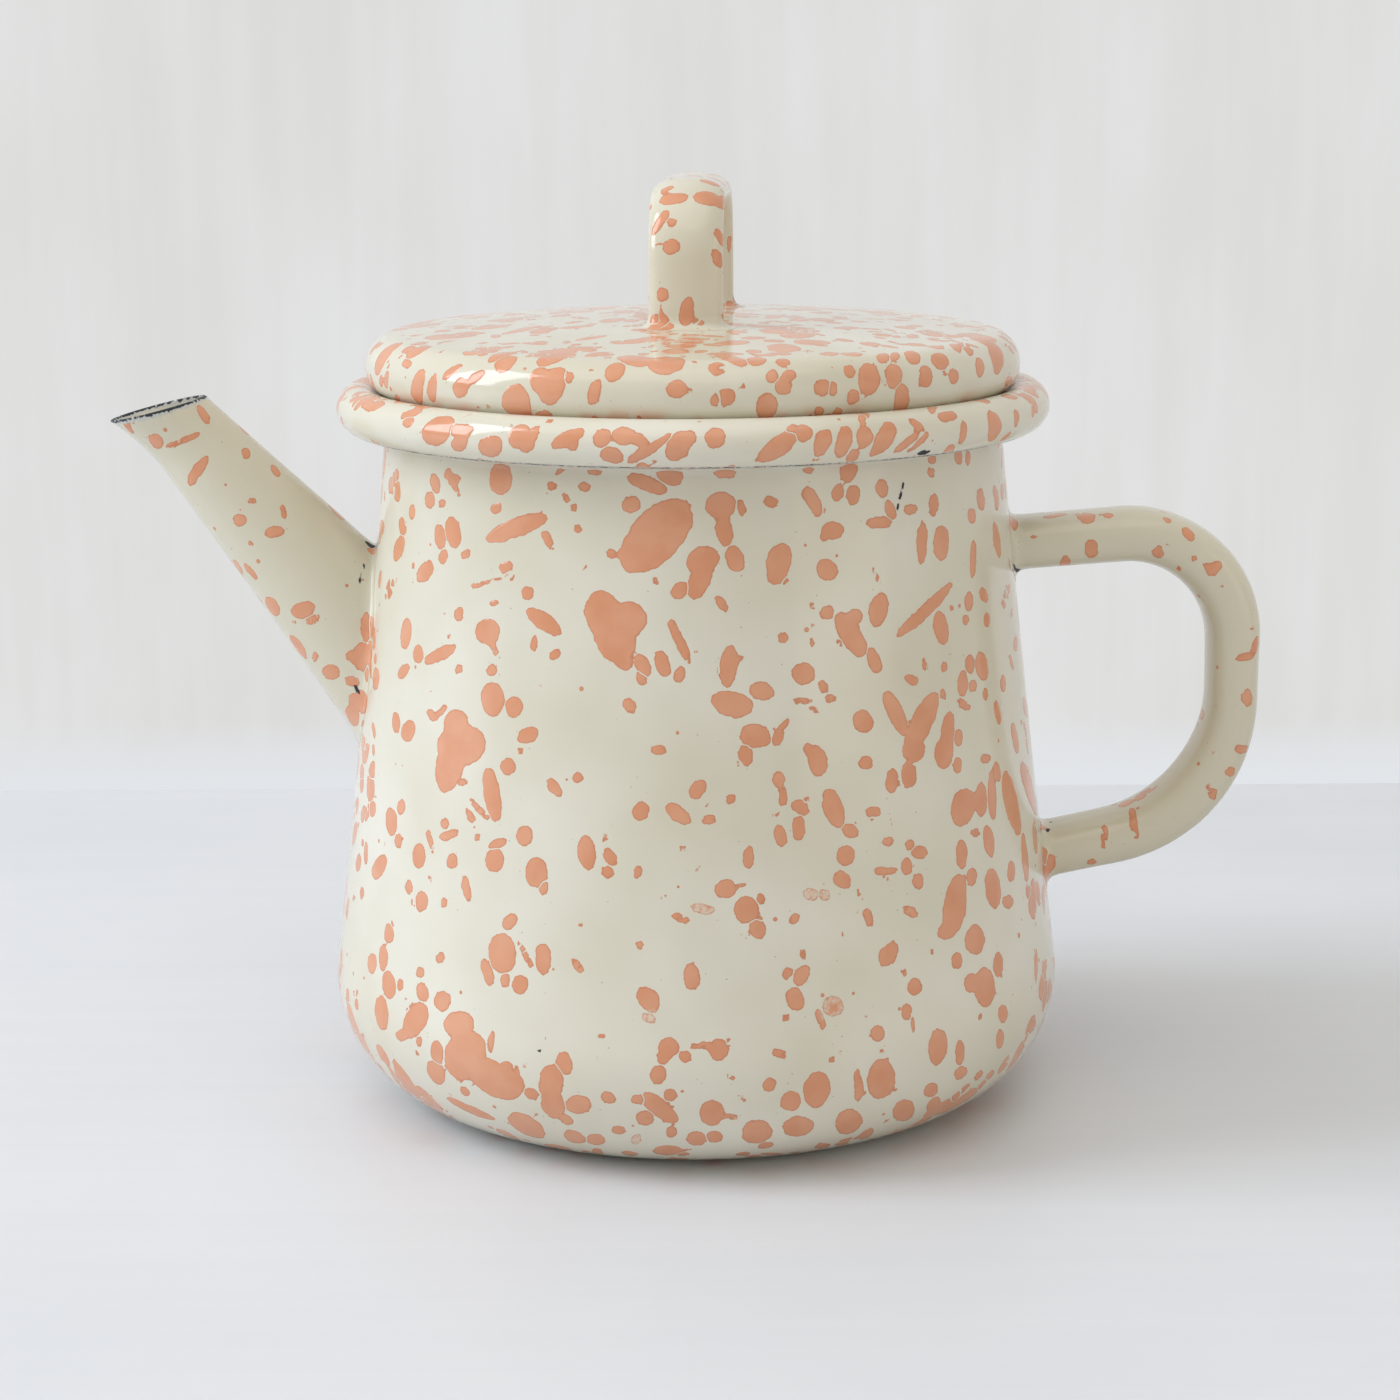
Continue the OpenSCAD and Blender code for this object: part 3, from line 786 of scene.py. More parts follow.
LOWER_WALL_LEFT = """
492 795 56 17 -80, 480 810 31 6 -46, 470 816 19 6 -60, 508 767 17 14 90, 555 788 22 10 -52,
577 778 10 9 30, 641 811 20 16 90, 678 814 30 14 -40, 391 822 29 12 -85, 401 807 15 8 90,
398 841 16 8 90, 372 809 16 9 90, 419 855 25 13 88, 430 839 27 6 -75, 445 824 13 9 -80,
448 835 23 10 18, 452 861 14 11 90, 495 860 23 18 90, 497 844 17 8 15, 525 836 21 16 90,
536 872 30 23 90, 544 888 16 8 90, 587 852 35 18 -85, 610 857 22 12 -55, 605 838 11 7 90,
608 872 14 11 -40, 638 872 15 10 75, 466 888 27 8 -80, 422 901 20 12 90, 409 887 14 7 90,
444 902 10 6 90, 379 867 25 13 65, 366 853 22 5 90, 362 893 12 6 90, 510 922 20 14 50,
502 953 41 27 88, 487 971 28 11 -72, 525 954 33 6 -60, 543 959 31 16 -85, 520 985 19 14 80,
505 980 14 8 90, 578 966 19 8 -50, 648 999 27 19 -50, 648 1018 16 6 -25 thin, 640 945 10 7 -40,
692 977 27 16 -85, 680 918 19 7 -25, 389 934 19 9 90, 372 963 20 9 90, 383 958 27 9 90,
389 985 29 14 -80, 400 985 14 7 90, 381 1013 35 13 -85, 420 973 10 8 90, 423 992 20 12 -70,
442 1001 21 17 90, 415 1021 38 22 65 + 402 1035 14 12 0, 419 1042 12 7 90, 440 958 12 10 90,
459 1025 30 28 0 + 464 1056 52 40 80 + 494 1080 55 33 -30 + 508 1086 30 26 0 + 506 1068 16 11 90,
437 1053 25 12 -80, 436 1073 26 16 -60, 491 1042 23 6 80, 465 1092 11 8 -40, 434 1105 52 14 -40,
471 1110 55 7 -25, 394 1076 24 6 -57, 371 1058 30 5 -50, 527 1127 42 18 -30,
551 1083 38 25 85 + 553 1105 30 22 -60 + 567 1120 14 9 -30, 564 1063 26 17 -70, 578 1105 27 19 -5,
532 1094 14 10 -30, 574 1137 23 12 -20, 596 1140 19 11 -5, 508 1135 26 9 -25, 608 1097 16 11 -25,
668 1047 23 20 0 + 663 1058 14 12 0, 685 1057 13 9 -50, 658 1075 19 17 90, 670 1095 13 12 90,
660 1109 45 17 -40, 645 1118 18 15 0, 639 1099 16 9 0, 671 1132 13 12 90, 619 1130 12 8 0,
636 1140 12 10 45 thin, 667 1151 29 11 0
"""
LOWER_WALL_RIGHT = """
817 761 31 19 -80 + 808 750 14 8 -60, 866 763 16 15 -20, 892 780 24 12 90, 909 775 26 16 90,
958 765 16 8 90, 986 759 11 9 0, 779 780 16 13 90 + 783 796 22 9 90, 801 808 20 12 -30,
776 817 11 6 5, 780 835 23 14 -75, 799 828 25 14 90, 731 799 12 9 55, 708 820 15 9 0,
698 789 22 16 60, 834 809 41 19 -70, 850 831 19 14 -30, 846 855 22 20 90, 842 880 22 17 -55,
873 812 16 10 0, 888 842 11 10 0, 910 845 10 8 90, 920 853 17 14 0, 907 866 18 11 90,
886 871 24 7 3, 918 881 15 11 90, 909 911 18 9 -25, 868 917 19 8 -75, 860 896 14 5 -65,
748 858 25 10 88, 726 889 23 19 0 + 741 885 12 6 0, 746 909 27 24 90 + 757 917 12 6 -40,
758 929 21 14 -65, 760 898 11 8 -60, 702 909 26 10 -12 thin, 794 919 11 8 60, 810 894 16 11 -30 thin,
825 895 12 10 -60 thin, 803 953 12 6 90, 889 954 27 16 60, 801 976 22 14 60, 787 974 14 11 60,
795 998 24 18 -70, 821 1020 21 8 -70, 834 1007 22 20 0 thin, 877 1033 15 13 90, 915 987 20 14 90,
904 971 12 5 -75, 907 1012 16 9 90, 913 1026 18 4 -80, 938 1047 38 18 85, 960 1053 25 9 90,
961 1073 14 11 45, 955 906 61 23 82 + 946 932 16 14 0, 975 940 30 20 90, 957 961 17 12 90,
993 888 40 15 -85, 1008 902 14 11 90, 962 854 27 11 90, 972 877 18 9 90,
964 807 38 25 75 + 981 800 36 12 90, 992 795 51 8 -88, 997 771 21 7 -80, 1012 803 66 15 -78,
1030 789 55 19 -75, 989 841 34 10 -80, 975 833 11 10 30, 1025 858 50 8 -85, 1011 871 21 8 90,
1033 899 41 11 90, 1045 859 23 7 -80, 985 987 38 22 90 + 971 983 20 14 90, 998 965 25 10 90,
1003 1014 16 9 90, 1000 1039 19 7 90, 1045 987 52 8 90, 1036 965 30 4 90, 881 1080 41 27 85,
859 1087 36 8 -86, 817 1090 36 27 75, 791 1101 21 20 0, 769 1085 14 12 50, 798 1127 30 22 8,
757 1133 30 23 0, 849 1123 29 24 40, 904 1112 22 20 40, 931 1090 16 13 50, 933 1106 18 11 55,
957 1098 34 12 40, 712 1114 24 24 0 + 732 1117 16 6 -10, 697 1139 22 14 0, 714 1137 18 12 0,
719 1050 21 17 90 + 706 1046 12 5 -20, 779 1053 18 10 -20, 730 1077 12 7 -25, 924 1120 24 9 30,
772 1154 22 5 0, 1004 1065 22 9 60, 979 1075 11 7 50, 990 1075 11 7 50, 766 1145 15 6 10
"""
LID = """
384 355 43 13 55, 386 380 18 5 85, 417 387 38 12 80, 432 387 29 9 85, 452 371 27 7 40,
460 388 20 15 80 + 475 378 23 8 40, 407 364 11 10 60, 418 350 28 10 25, 475 351 19 6 5,
502 355 30 9 12, 505 362 24 15 30, 556 357 41 12 8, 539 379 26 19 80 + 552 385 39 24 65,
568 377 12 11 0, 516 403 38 27 -70, 595 392 27 12 75, 615 371 22 16 40, 666 362 38 16 0,
677 389 22 19 0, 717 368 18 14 0, 398 400 11 6 -60, 718 399 16 12 60, 607 355 17 4 5,
591 338 32 7 8, 652 338 30 7 3, 695 339 28 6 -3, 521 330 41 10 12, 719 368 13 9 0,
756 360 19 10 0, 725 354 38 6 0, 779 354 28 6 0, 783 362 14 9 -5, 772 375 14 13 90,
784 386 17 17 0 + 789 375 14 12 0, 725 397 19 18 30, 767 408 28 22 80, 822 387 17 15 90,
833 389 12 8 90, 850 371 14 11 -80, 869 378 34 22 90, 853 398 17 13 70, 883 357 14 11 0,
895 356 12 9 0, 894 375 25 15 -80, 912 356 17 13 -40, 830 354 20 8 0, 926 377 22 14 90,
940 360 19 15 -55, 936 347 17 7 -5, 954 376 14 9 -80, 956 347 14 8 -30, 968 348 14 10 -45,
980 367 20 9 -85, 997 355 34 15 -72, 902 401 33 15 85, 863 414 13 10 45, 819 413 11 9 60,
838 412 11 8 60, 932 408 10 9 45, 1002 393 14 6 60, 1011 383 20 5 80, 754 338 24 7 0,
846 328 25 8 0, 808 332 37 6 -12, 777 331 23 4 -3, 871 329 21 4 -3, 752 314 30 4 5
"""
RIM = """
374 405 21 11 15, 412 413 23 6 15, 408 422 11 9 50, 437 430 36 24 40,
461 430 25 13 0 + 459 443 21 15 60, 491 447 23 21 0, 518 436 26 19 60 + 529 440 28 12 60,
568 438 37 12 28 + 573 445 10 8 80, 602 438 20 18 60 + 624 436 25 18 0 + 639 440 20 13 -30,
612 456 25 17 -15, 649 449 53 10 32, 678 447 32 24 60 + 687 438 19 17 0, 716 438 23 20 80,
778 447 48 21 38, 804 433 18 17 -45 + 792 430 14 12 30, 823 443 30 17 65, 844 442 34 17 80,
865 438 24 17 85, 884 440 42 17 58, 908 442 33 8 42, 920 442 32 5 42, 917 425 20 7 -40,
947 416 19 10 0, 964 433 25 7 80, 995 426 32 13 -82, 1017 418 18 5 88, 1033 412 12 4 88,
853 456 14 10 45
"""
STRAP = """
671 178 22 4 8, 710 182 24 6 -18, 674 198 30 11 5 + 667 189 17 5 25,
708 198 31 13 -8 + 722 206 10 5 -50, 659 223 29 8 58, 672 223 11 8 10,
671 247 16 16 0 + 658 244 8 3 20, 721 238 19 6 -70, 718 259 22 10 -65, 662 295 13 10 80,
687 311 30 15 80, 699 324 10 5 25, 656 321 14 11 60, 720 318 10 3 88, 729 245 17 4 85
"""
SPOUT = """
156 441 17 13 -40, 183 441 41 7 22, 197 471 37 11 55, 203 413 22 8 -60, 127 425 21 6 -60,
246 453 11 10 90, 276 471 13 6 -55, 252 501 10 6 0, 283 512 14 6 -80, 240 520 14 11 0,
274 532 20 12 8, 238 567 16 6 -55, 251 572 22 6 -50, 272 607 21 11 -55, 302 610 23 16 15,
313 620 16 7 20, 298 647 28 10 -55, 315 657 10 6 70, 330 673 18 14 -10, 351 656 11 10 0,
352 681 18 11 0, 352 716 20 13 -70, 366 628 34 10 88, 367 670 28 7 88, 389 590 22 10 80
"""
HANDLE = """
1086 517 17 11 0, 1108 515 11 6 0, 1036 539 12 6 0, 1092 549 20 14 90, 1065 563 11 9 45,
1167 520 10 6 -20, 1188 534 15 9 -50, 1170 542 14 7 0, 1159 552 13 12 90,
1191 559 20 6 5 + 1208 566 20 8 -60 + 1217 568 16 8 70, 1220 586 16 3 -10, 1252 628 10 5 75,
1246 657 18 8 5 + 1256 645 19 5 80, 1247 698 21 12 -70, 1243 749 13 9 10, 1230 772 11 10 45,
1212 792 18 9 -70, 1177 841 19 9 28, 1133 819 35 7 -80, 1104 837 25 6 85, 1092 862 10 6 5
"""
PLACED = {
    "upper wall, left": UPPER_WALL_LEFT, "upper wall, right": UPPER_WALL_RIGHT,
    "lower wall, left": LOWER_WALL_LEFT, "lower wall, right": LOWER_WALL_RIGHT,
    "lid": LID, "rim": RIM, "lid strap": STRAP, "spout": SPOUT, "handle": HANDLE,
}
# Where the glass has chipped off, down to blue-black iron oxide, and hairlines in it
CHIPS = """
924 453 14 4 8, 901 494 30 2 76, 539 1051 5 5 0, 370 545 12 4 -35, 361 577 14 3 80, 364 566 6 3 80,
357 690 12 4 -60, 1017 570 8 4 -20, 1014 566 5 4 0, 1048 830 5 4 0, 1050 822 3 3 0
"""

# %% [markdown]
# A drop is kept as an ellipse lying on the surface: its middle, the surface's normal there,
# and its two half axes as vectors. Seen at a slant it looks narrower than it is, so its ends
# are sent back along their own rays on to the plane that touches the surface.

# %% Find each large drop's place on the surface
PX_PER_MM = 5.7
MOST_STRETCH = 2.4
LEAST_SLANT = 0.12
LEAST_HALF = 0.25


def surface_tree():
    """All pieces in one search tree, in metres."""
    points, faces = [], []
    for piece, *_ in PIECES:
        start = len(points)
        points += [v.co for v in piece.data.vertices]
        faces += [[start + i for i in f.vertices] for f in piece.data.polygons]
    return BVHTree.FromPolygons(points, faces)


surface = surface_tree()


def on_plane(x, y, middle, normal):
    """Where the ray through a pixel meets a plane, from the plane's middle, in millimetres."""
    ray = ray_through(x, y)
    slant = min(ray.dot(normal), -LEAST_SLANT)
    return (EYE + ray * ((middle - EYE).dot(normal) / slant) - middle) / MM


def placed_drop(words):
    """One drop from its five numbers, or None where its ray misses the pot."""
    x, y, length, width, lean = [float(w) for w in words.split()[:5]]
    middle, normal, *_ = surface.ray_cast(EYE, ray_through(x, y))
    if middle is None:
        return None
    if normal.dot(middle - EYE) > 0:
        normal = -normal
    turn = math.radians(lean)
    axes = []
    for size, along in ((length, turn), (width, turn + math.pi / 2)):
        end = on_plane(x + size / 2 * math.cos(along), y - size / 2 * math.sin(along), middle, normal)
        end -= end.dot(normal) * normal
        most = size / 2 / PX_PER_MM * MOST_STRETCH
        axes.append(end * min(1, most / end.length))
    return make_drop(middle / MM, normal, *axes, thin=float(words.endswith("thin")))


def make_drop(middle, normal, first, second, thin=0.0):
    """A drop with square half axes, out of any two half axes of its ellipse."""
    spread = np.stack([first, second], -1)
    directions, sizes, _ = np.linalg.svd(spread, full_matrices=False)
    return {
        "middle": np.array(middle), "normal": np.array(normal),
        "long": directions[:, 0], "wide": directions[:, 1],
        "half": np.maximum(sizes, LEAST_HALF), "thin": thin, "taper": 0.0,
    }


def placed_groups(text):
    groups = []
    for group in text.replace("\n", " ").split(","):
        drops = [placed_drop(words.strip()) for words in group.split("+") if words.strip()]
        groups.append([d for d in drops if d])
    return [g for g in groups if g]


splashes = []
for name, text in PLACED.items():
    found = placed_groups(text)
    splashes += found
    print(name, len(found), "splashes")
chips = placed_groups(CHIPS)

# %% [markdown]
# The flicked brush goes round the whole pot, so the sides that the camera doesn't see get
# drops of the same sizes: many on the lid, the rim and low on the belly, and few on spout and
# handle. A large drop is only thrown where none was listed.

# %% Where the other drops may fall
# Share of the surface that drops cover, for each part's outside
COVER = {
    "enamelled_wall": 0.2, "enamelled_base": 0.3, "enamelled_lid": 0.33, "enamelled_spout": 0.07,
    "enamelled_handle": 0.07, "enamelled_lid_strap": 0.13,
}
# Drops are listed where the surface faces the camera at more than this cosine
PLACED_SLANT = 0.3
EYE_LIFT = 0.5
# How far below a part's outer face its skin still counts as the outside
SKIN, BEAD_SKIN, SPOUT_SKIN = 0.5, 0.3, 0.9
SHOULDER_IN = 4
LINING_FROM = 0.9
FOOT_SKIN = 0.6
# Drops are likelier on the rim and low on the wall, and rare under the base
RIM_CHANCE, HIGH_CHANCE, LOW_CHANCE = 1.6, 0.75, 0.5
LOW_UNDER, LOW_SPAN = 70, 60
UNDER_Z, UNDER_CHANCE = 2, 0.25
SEAM_PLAY = 0.05


def numbers(items, attribute, width=1):
    """One attribute of all of a mesh's items: a row of numbers for each."""
    values = np.empty(len(items) * width)
    items.foreach_get(attribute, values)
    return values.reshape(-1, width) if width > 1 else values


def outside(piece, points):
    """Which points of a piece lie on the outside of the pot, where drops fall."""
    radius, height = np.hypot(points[:, 0], points[:, 1]), points[:, 2]
    if piece is pot_wall:
        hollow = np.hypot(radius - BEAD_AT[0], height - BEAD_AT[1]) < hollow_r + BEAD_SKIN
        inner = (height < NECK_Z) & (radius < wall_radius(height) - SKIN)
        lining = (height >= NECK_Z) & (radius < BEAD_AT[0] - BEAD_R * LINING_FROM)
        return ~(hollow | inner | lining)
    if piece is pot_base:
        corner = np.hypot(radius - corner_at[0], height - corner_at[1]) > CORNER_R - SKIN
        return (radius > wall_radius(height) - SKIN) | (height < FOOT_SKIN) | corner
    if piece is lid_cap:
        skin = (radius > LID_R - SHOULDER_IN) | (dome_gap(points) > -SKIN)
        return (height > LEDGE_Z + SKIN) & skin
    if piece is spout_tube:
        along = (points - spout_root) @ spout_along / SPOUT_LEN
        across = (points - spout_root) @ spout_across
        middle = lerp(SPOUT_ROOT_R, SPOUT_TIP_R, along)
        return np.hypot(across, points[:, 1]) > middle - SPOUT_SKIN
    return np.ones(len(points), bool)


def chances(piece, middles):
    """The chance that a drop falls on each face, and the area that is open to drops in mm2."""
    area = numbers(piece.data.polygons, "area") / (MM * MM) * outside(piece, middles)
    chance = area * (np.abs(middles[:, 2] - SEAM_Z) > SEAM_PLAY)
    total = chance.sum()
    if piece is pot_wall:
        low = np.clip((LOW_UNDER - middles[:, 2]) / LOW_SPAN, 0, 1)
        on_rim = middles[:, 2] > NECK_Z
        chance = chance * np.where(on_rim, RIM_CHANCE, HIGH_CHANCE + LOW_CHANCE * low)
    if piece is pot_base:
        chance = chance * np.where(middles[:, 2] < UNDER_Z, UNDER_CHANCE, 1)
    return chance / chance.sum(), total


def seen(middle, normal):
    """Whether the camera sees a point well enough for its drops to be listed."""
    point = Vector(middle) * MM
    view = EYE - point
    if view.normalized().dot(Vector(normal)) < PLACED_SLANT:
        return False
    hit = surface.ray_cast(point + Vector(normal) * (EYE_LIFT * MM), view.normalized())
    return hit[0] is None


on_wall = outside(pot_wall, numbers(pot_wall.data.vertices, "co", 3) / MM)
print("corners on the outside of the wall:", int(on_wall.sum()), "of", len(on_wall))

# %% [markdown]
# Sizes follow a lognormal law, as thrown drops do: many near the mean and a few large ones.
# One in four has a smaller twin that runs into it. Drops are thrown until they would cover
# their share of a part, and then small ones follow. Each draw is from one seeded generator.

# %% Scatter the other drops
SEED = 7
MEAN_LENGTH, LENGTH_SPREAD = 3.0, 0.55
LONGEST = {"enamelled_spout": 4.5, "enamelled_handle": 4.5, "enamelled_lid_strap": 5, "enamelled_lid": 7}
LONGEST_ELSEWHERE = 14
RIM_LONGEST = 5
WIDTH_SHARE = (0.3, 0.95)
MOST_TAPER = 0.45
TWIN_CHANCE = 0.25
TWIN_SIZE = 0.6
TWIN_BESIDE, TWIN_ALONG = 0.6, 0.5
TWIN_SHARE = (0.4, 0.9)
SMALL_LENGTH = (0.4, 1.1)
SMALL_SHARE = (0.5, 1)
# One small drop for so many square millimetres of cover
SMALL_EVERY = 9
random = np.random.default_rng(SEED)


def scattered_drop(middle, normal, length, aspect):
    side = np.cross(normal, random.normal(size=3))
    side /= np.linalg.norm(side)
    drop = make_drop(middle, normal, side * length / 2, np.cross(normal, side) * length * aspect / 2)
    drop["taper"] = random.uniform(-MOST_TAPER, MOST_TAPER)
    return drop


def scattered_splash(middle, normal, length, aspect):
    """A drop, and now and then its twin."""
    drop = scattered_drop(middle, normal, length, aspect)
    if random.random() >= TWIN_CHANCE:
        return [drop]
    beside = middle + drop["wide"] * length * aspect * random.uniform(-TWIN_BESIDE, TWIN_BESIDE)
    beside = beside + drop["long"] * length * random.uniform(-TWIN_ALONG, TWIN_ALONG)
    return [drop, scattered_drop(beside, normal, length * TWIN_SIZE, random.uniform(*TWIN_SHARE))]


for piece in (p for p, *_ in PIECES if p.name in COVER):
    middles = numbers(piece.data.polygons, "center", 3) / MM
    normals = numbers(piece.data.polygons, "normal", 3)
    chance, area = chances(piece, middles)
    cover = COVER[piece.name]
    covered = 0.0
    while covered < cover * area:
        face = random.choice(len(chance), p=chance)
        middle, normal = middles[face], normals[face]
        length = MEAN_LENGTH * math.exp(random.normal() * LENGTH_SPREAD)
        on_rim = piece is pot_wall and middle[2] > NECK_Z
        length = min(length, RIM_LONGEST if on_rim else LONGEST.get(piece.name, LONGEST_ELSEWHERE))
        aspect = random.uniform(*WIDTH_SHARE)
        covered += math.pi / 4 * length * length * aspect
        if not seen(middle, normal):
            splashes.append(scattered_splash(middle, normal, length, aspect))
    for face in random.choice(len(chance), size=int(area * cover / SMALL_EVERY), p=chance):
        length = random.uniform(*SMALL_LENGTH)
        drop = scattered_drop(middles[face], normals[face], length, random.uniform(*SMALL_SHARE))
        splashes.append([drop])
    print(piece.name, round(area), "mm2,", len(splashes), "splashes so far")

# %% [markdown]
# The mesh carries how far each corner lies from the edge of the nearest drop, in millimetres,
# below zero inside it. A shader can then draw the edge as sharp as it likes. Real drops that
# meet keep a thin pale line between them, so neighbours go into two layers, and the shader
# leaves that line free where the two layers are equally near.

# %% Distances to the drops
FAR = 3.0
MELT = 0.5
THIN_REACH = 0.8
WIDEST_TAPER = 1.2
TINY = 1e-6


def drop_distance(drop, points):
    """Signed distance of points from a drop's outline, measured over the surface."""
    offset = points - drop["middle"]
    u, v = offset @ drop["long"], offset @ drop["wide"]
    flat = np.hypot(u, v) + TINY
    stretch = np.linalg.norm(offset, axis=1) / flat
    u, v = u * stretch, v * stretch
    a, b = drop["half"]
    taper = drop["taper"] * (1 - b / a)
    b = b * (1 + taper * np.clip(u / a, -WIDEST_TAPER, WIDEST_TAPER))
    inside = np.hypot(u / a, v / b) + TINY
    steep = np.hypot(u / (a * a), v / (b * b)) + TINY
    return np.maximum(inside * (inside - 1) / steep, -np.minimum(a, b))


all_points = [numbers(p.data.vertices, "co", 3) / MM for p, *_ in PIECES]
ends = np.cumsum([len(points) for points in all_points])
spans = [slice(end - len(points), end) for end, points in zip(ends, all_points)]
all_out = np.concatenate([outside(p, points) for (p, *_), points in zip(PIECES, all_points)])
all_points = np.concatenate(all_points)
all_normals = np.concatenate([numbers(p.data.vertex_normals, "vector", 3) for p, *_ in PIECES])


def search_tree(points):
    found = KDTree(len(points))
    for index, point in enumerate(points):
        found.insert(point, index)
    found.balance()
    return found


search = search_tree(all_points)


def near_points(drop):
    """Corners that a drop may reach: outside, and facing its own way, as it can't run through."""
    reach = drop["half"][0] * WIDEST_TAPER + FAR
    index = np.array([i for _, i, _ in search.find_range(drop["middle"], reach)], int)
    return index[(all_normals[index] @ drop["normal"] > 0) & all_out[index]]


def spread_group(layer, group):
    """Write a splash's distances into a layer, its drops melted into each other."""
    index = np.unique(np.concatenate([near_points(d) for d in group]))
    melted = drop_distance(group[0], all_points[index])
    for drop in group[1:]:
        distance = drop_distance(drop, all_points[index])
        blend = np.clip(0.5 + 0.5 * (distance - melted) / MELT, 0, 1)
        melted = distance + (melted - distance) * blend - MELT * blend * (1 - blend)
    closer = melted < layer[index]
    layer[index[closer]] = melted[closer]
    return index[closer & (melted < THIN_REACH)]


layers = {name: np.full(len(all_points), FAR) for name in ("drops_a", "drops_b", "chips")}
layers["thin"] = np.zeros(len(all_points))
splash_middles = np.array([group[0]["middle"] for group in splashes])
sides = []
for index, group in enumerate(splashes):
    # Each splash goes into the other layer than its nearest neighbour so far
    gaps = np.linalg.norm(splash_middles[:index] - splash_middles[index], axis=1)
    sides.append(1 - sides[int(gaps.argmin())] if sides else 0)
    reached = spread_group(layers["drops_b" if sides[-1] else "drops_a"], group)
    layers["thin"][reached] = group[0]["thin"]
for group in chips:
    spread_group(layers["chips"], group)
print(len(splashes), "splashes,", round(float((layers["drops_a"] < 0).mean()), 3), "covered by layer a")

# %% [markdown]
# The glass is thinnest at the lip of the spout and along the bottom of the rolled rim, where
# the pot knocks against taps and shelves, so it wears through there first. The meshes carry
# the distance from those two lines, and how far the wear has come in millimetres: right along
# the lip, but only here and there along the rim.

# %% Distances from the sheet's edges
LIP_WEAR = 0.12
RIM_WEAR = 0.12
layers["edge_gap"] = np.full(len(all_points), FAR)
layers["wear"] = np.zeros(len(all_points))
for (piece, *_), span in zip(PIECES, spans):
    points = all_points[span]
    if piece is pot_wall:
        turn = math.radians(WORN_AT)
        line = BEAD_AT + BEAD_R * np.array([math.cos(turn), math.sin(turn)])
        radius = np.hypot(points[:, 0], points[:, 1])
        gap = np.hypot(radius - line[0], points[:, 2] - line[1])
        layers["edge_gap"][span] = np.minimum(gap, FAR)
        layers["wear"][span] = RIM_WEAR
    if piece is spout_tube:
        lip = search_tree(lip_middle)
        gap = [lip.find(p)[2] - LIP_SHEET / 2 for p in points]
        layers["edge_gap"][span] = np.minimum(gap, FAR)
        layers["wear"][span] = LIP_WEAR
    for name, values in layers.items():
        attribute = piece.data.attributes.new(name, "FLOAT", "POINT")
        attribute.data.foreach_set("value", values[span].astype(np.float32))
print("corners within a millimetre of a worn edge:", int((layers["edge_gap"] < 1).sum()))

# %% [markdown]
# Colours are written here as hex values, as a screen shows them. A shader reckons with light
# itself, where half as bright is half the value, so one function turns each colour into that.

# %% Colours in linear light
def linear(hex_colour):
    """An sRGB hex colour as linear RGBA."""
    parts = [int(hex_colour[i:i + 2], 16) / 255 for i in (1, 3, 5)]
    parts = [p / 12.92 if p <= 0.04045 else ((p + 0.055) / 1.055) ** 2.4 for p in parts]
    return (*parts, 1.0)


print("a middle grey in linear light:", [round(v, 3) for v in linear("#808080")])

# %% [markdown]
# A material is a tree of nodes. One helper adds any node, sets it up, links it, and gives back
# the socket that the next node needs, so that a pattern reads as a few sums in a row. Two
# patterns serve everywhere here: noise for what is cloudy or ragged, and scattered specks.

# %% Nodes and two patterns
# Settings that many nodes share
SMOOTH = {"interpolation_type": "SMOOTHSTEP"}
SCALE_ADD = {"operation": "MULTIPLY_ADD"}
COLOURS = {"data_type": "RGBA"}


def node(tree, kind, inputs=(), output=0, **settings):
    """Add a node with its settings and links, and give back one of its outputs.

    inputs names or numbers the sockets to fill, or is a row that fills them in order.
    """
    made = tree.nodes.new("ShaderNode" + kind)
    for key, value in settings.items():
        setattr(made, key, value)
    for key, value in inputs.items() if isinstance(inputs, dict) else enumerate(inputs):
        if isinstance(value, bpy.types.NodeSocket):
            tree.links.new(value, made.inputs[key])
        else:
            made.inputs[key].default_value = value
    return made.outputs[output] if made.outputs else made


def new_material(name):
    material = bpy.data.materials.new(name)
    material.use_nodes = True
    material.node_tree.nodes.clear()
    return material, material.node_tree


def noise(tree, size_mm, detail, shift, stretch=(1, 1, 1)):
    """Noise from -1 to 1 whose blotches are about as wide as size_mm."""
    place = node(tree, "TexCoord", (), "Object")
    place = {"Vector": place, "Location": (shift, shift, shift), "Scale": stretch}
    place = node(tree, "Mapping", place)
    value = {"Vector": place, "Scale": 1 / (size_mm * MM), "Detail": detail}
    value = node(tree, "TexNoise", value, "Fac")
    return node(tree, "Math", (value, 2.0, -1.0), **SCALE_ADD)


def specks(tree, shift, spacing_mm, channel, rare, smallest, largest):
    """Distance in mm from the edges of scattered specks, of which few are large enough to show."""
    place = node(tree, "TexCoord", (), "Object")
    place = node(tree, "Mapping", {"Vector": place, "Location": (shift, 0, 0)})
    away = node(tree, "TexVoronoi", {"Vector": place, "Scale": 1 / (spacing_mm * MM)}, "Distance")
    luck = node(tree, "SeparateColor", (away.node.outputs["Color"],), channel)
    size = node(tree, "MapRange", (luck, rare, 1, smallest, largest), **SMOOTH)
    away = node(tree, "Math", (away, spacing_mm), operation="MULTIPLY")
    return node(tree, "Math", (away, size), operation="SUBTRACT")


print("blotches of 5 mm need a noise scale of", round(1 / (5 * MM)))

# %% [markdown]
# Vitreous enamel is powdered glass that is melted on to steel at about 820 degrees. It stays a
# glass: clear at its surface, with a refractive index near 1.5, very smooth, and slightly
# rippled like orange peel where it flowed. All its colour lies under that surface, which is
# what a dielectric shader with a low roughness gives. Its patterns are set out here by name:
# noise makes outlines uneven and clouds the colours, and a soft step turns a distance or a
# noise into an amount, over as narrow or wide a stretch as the real edge has.

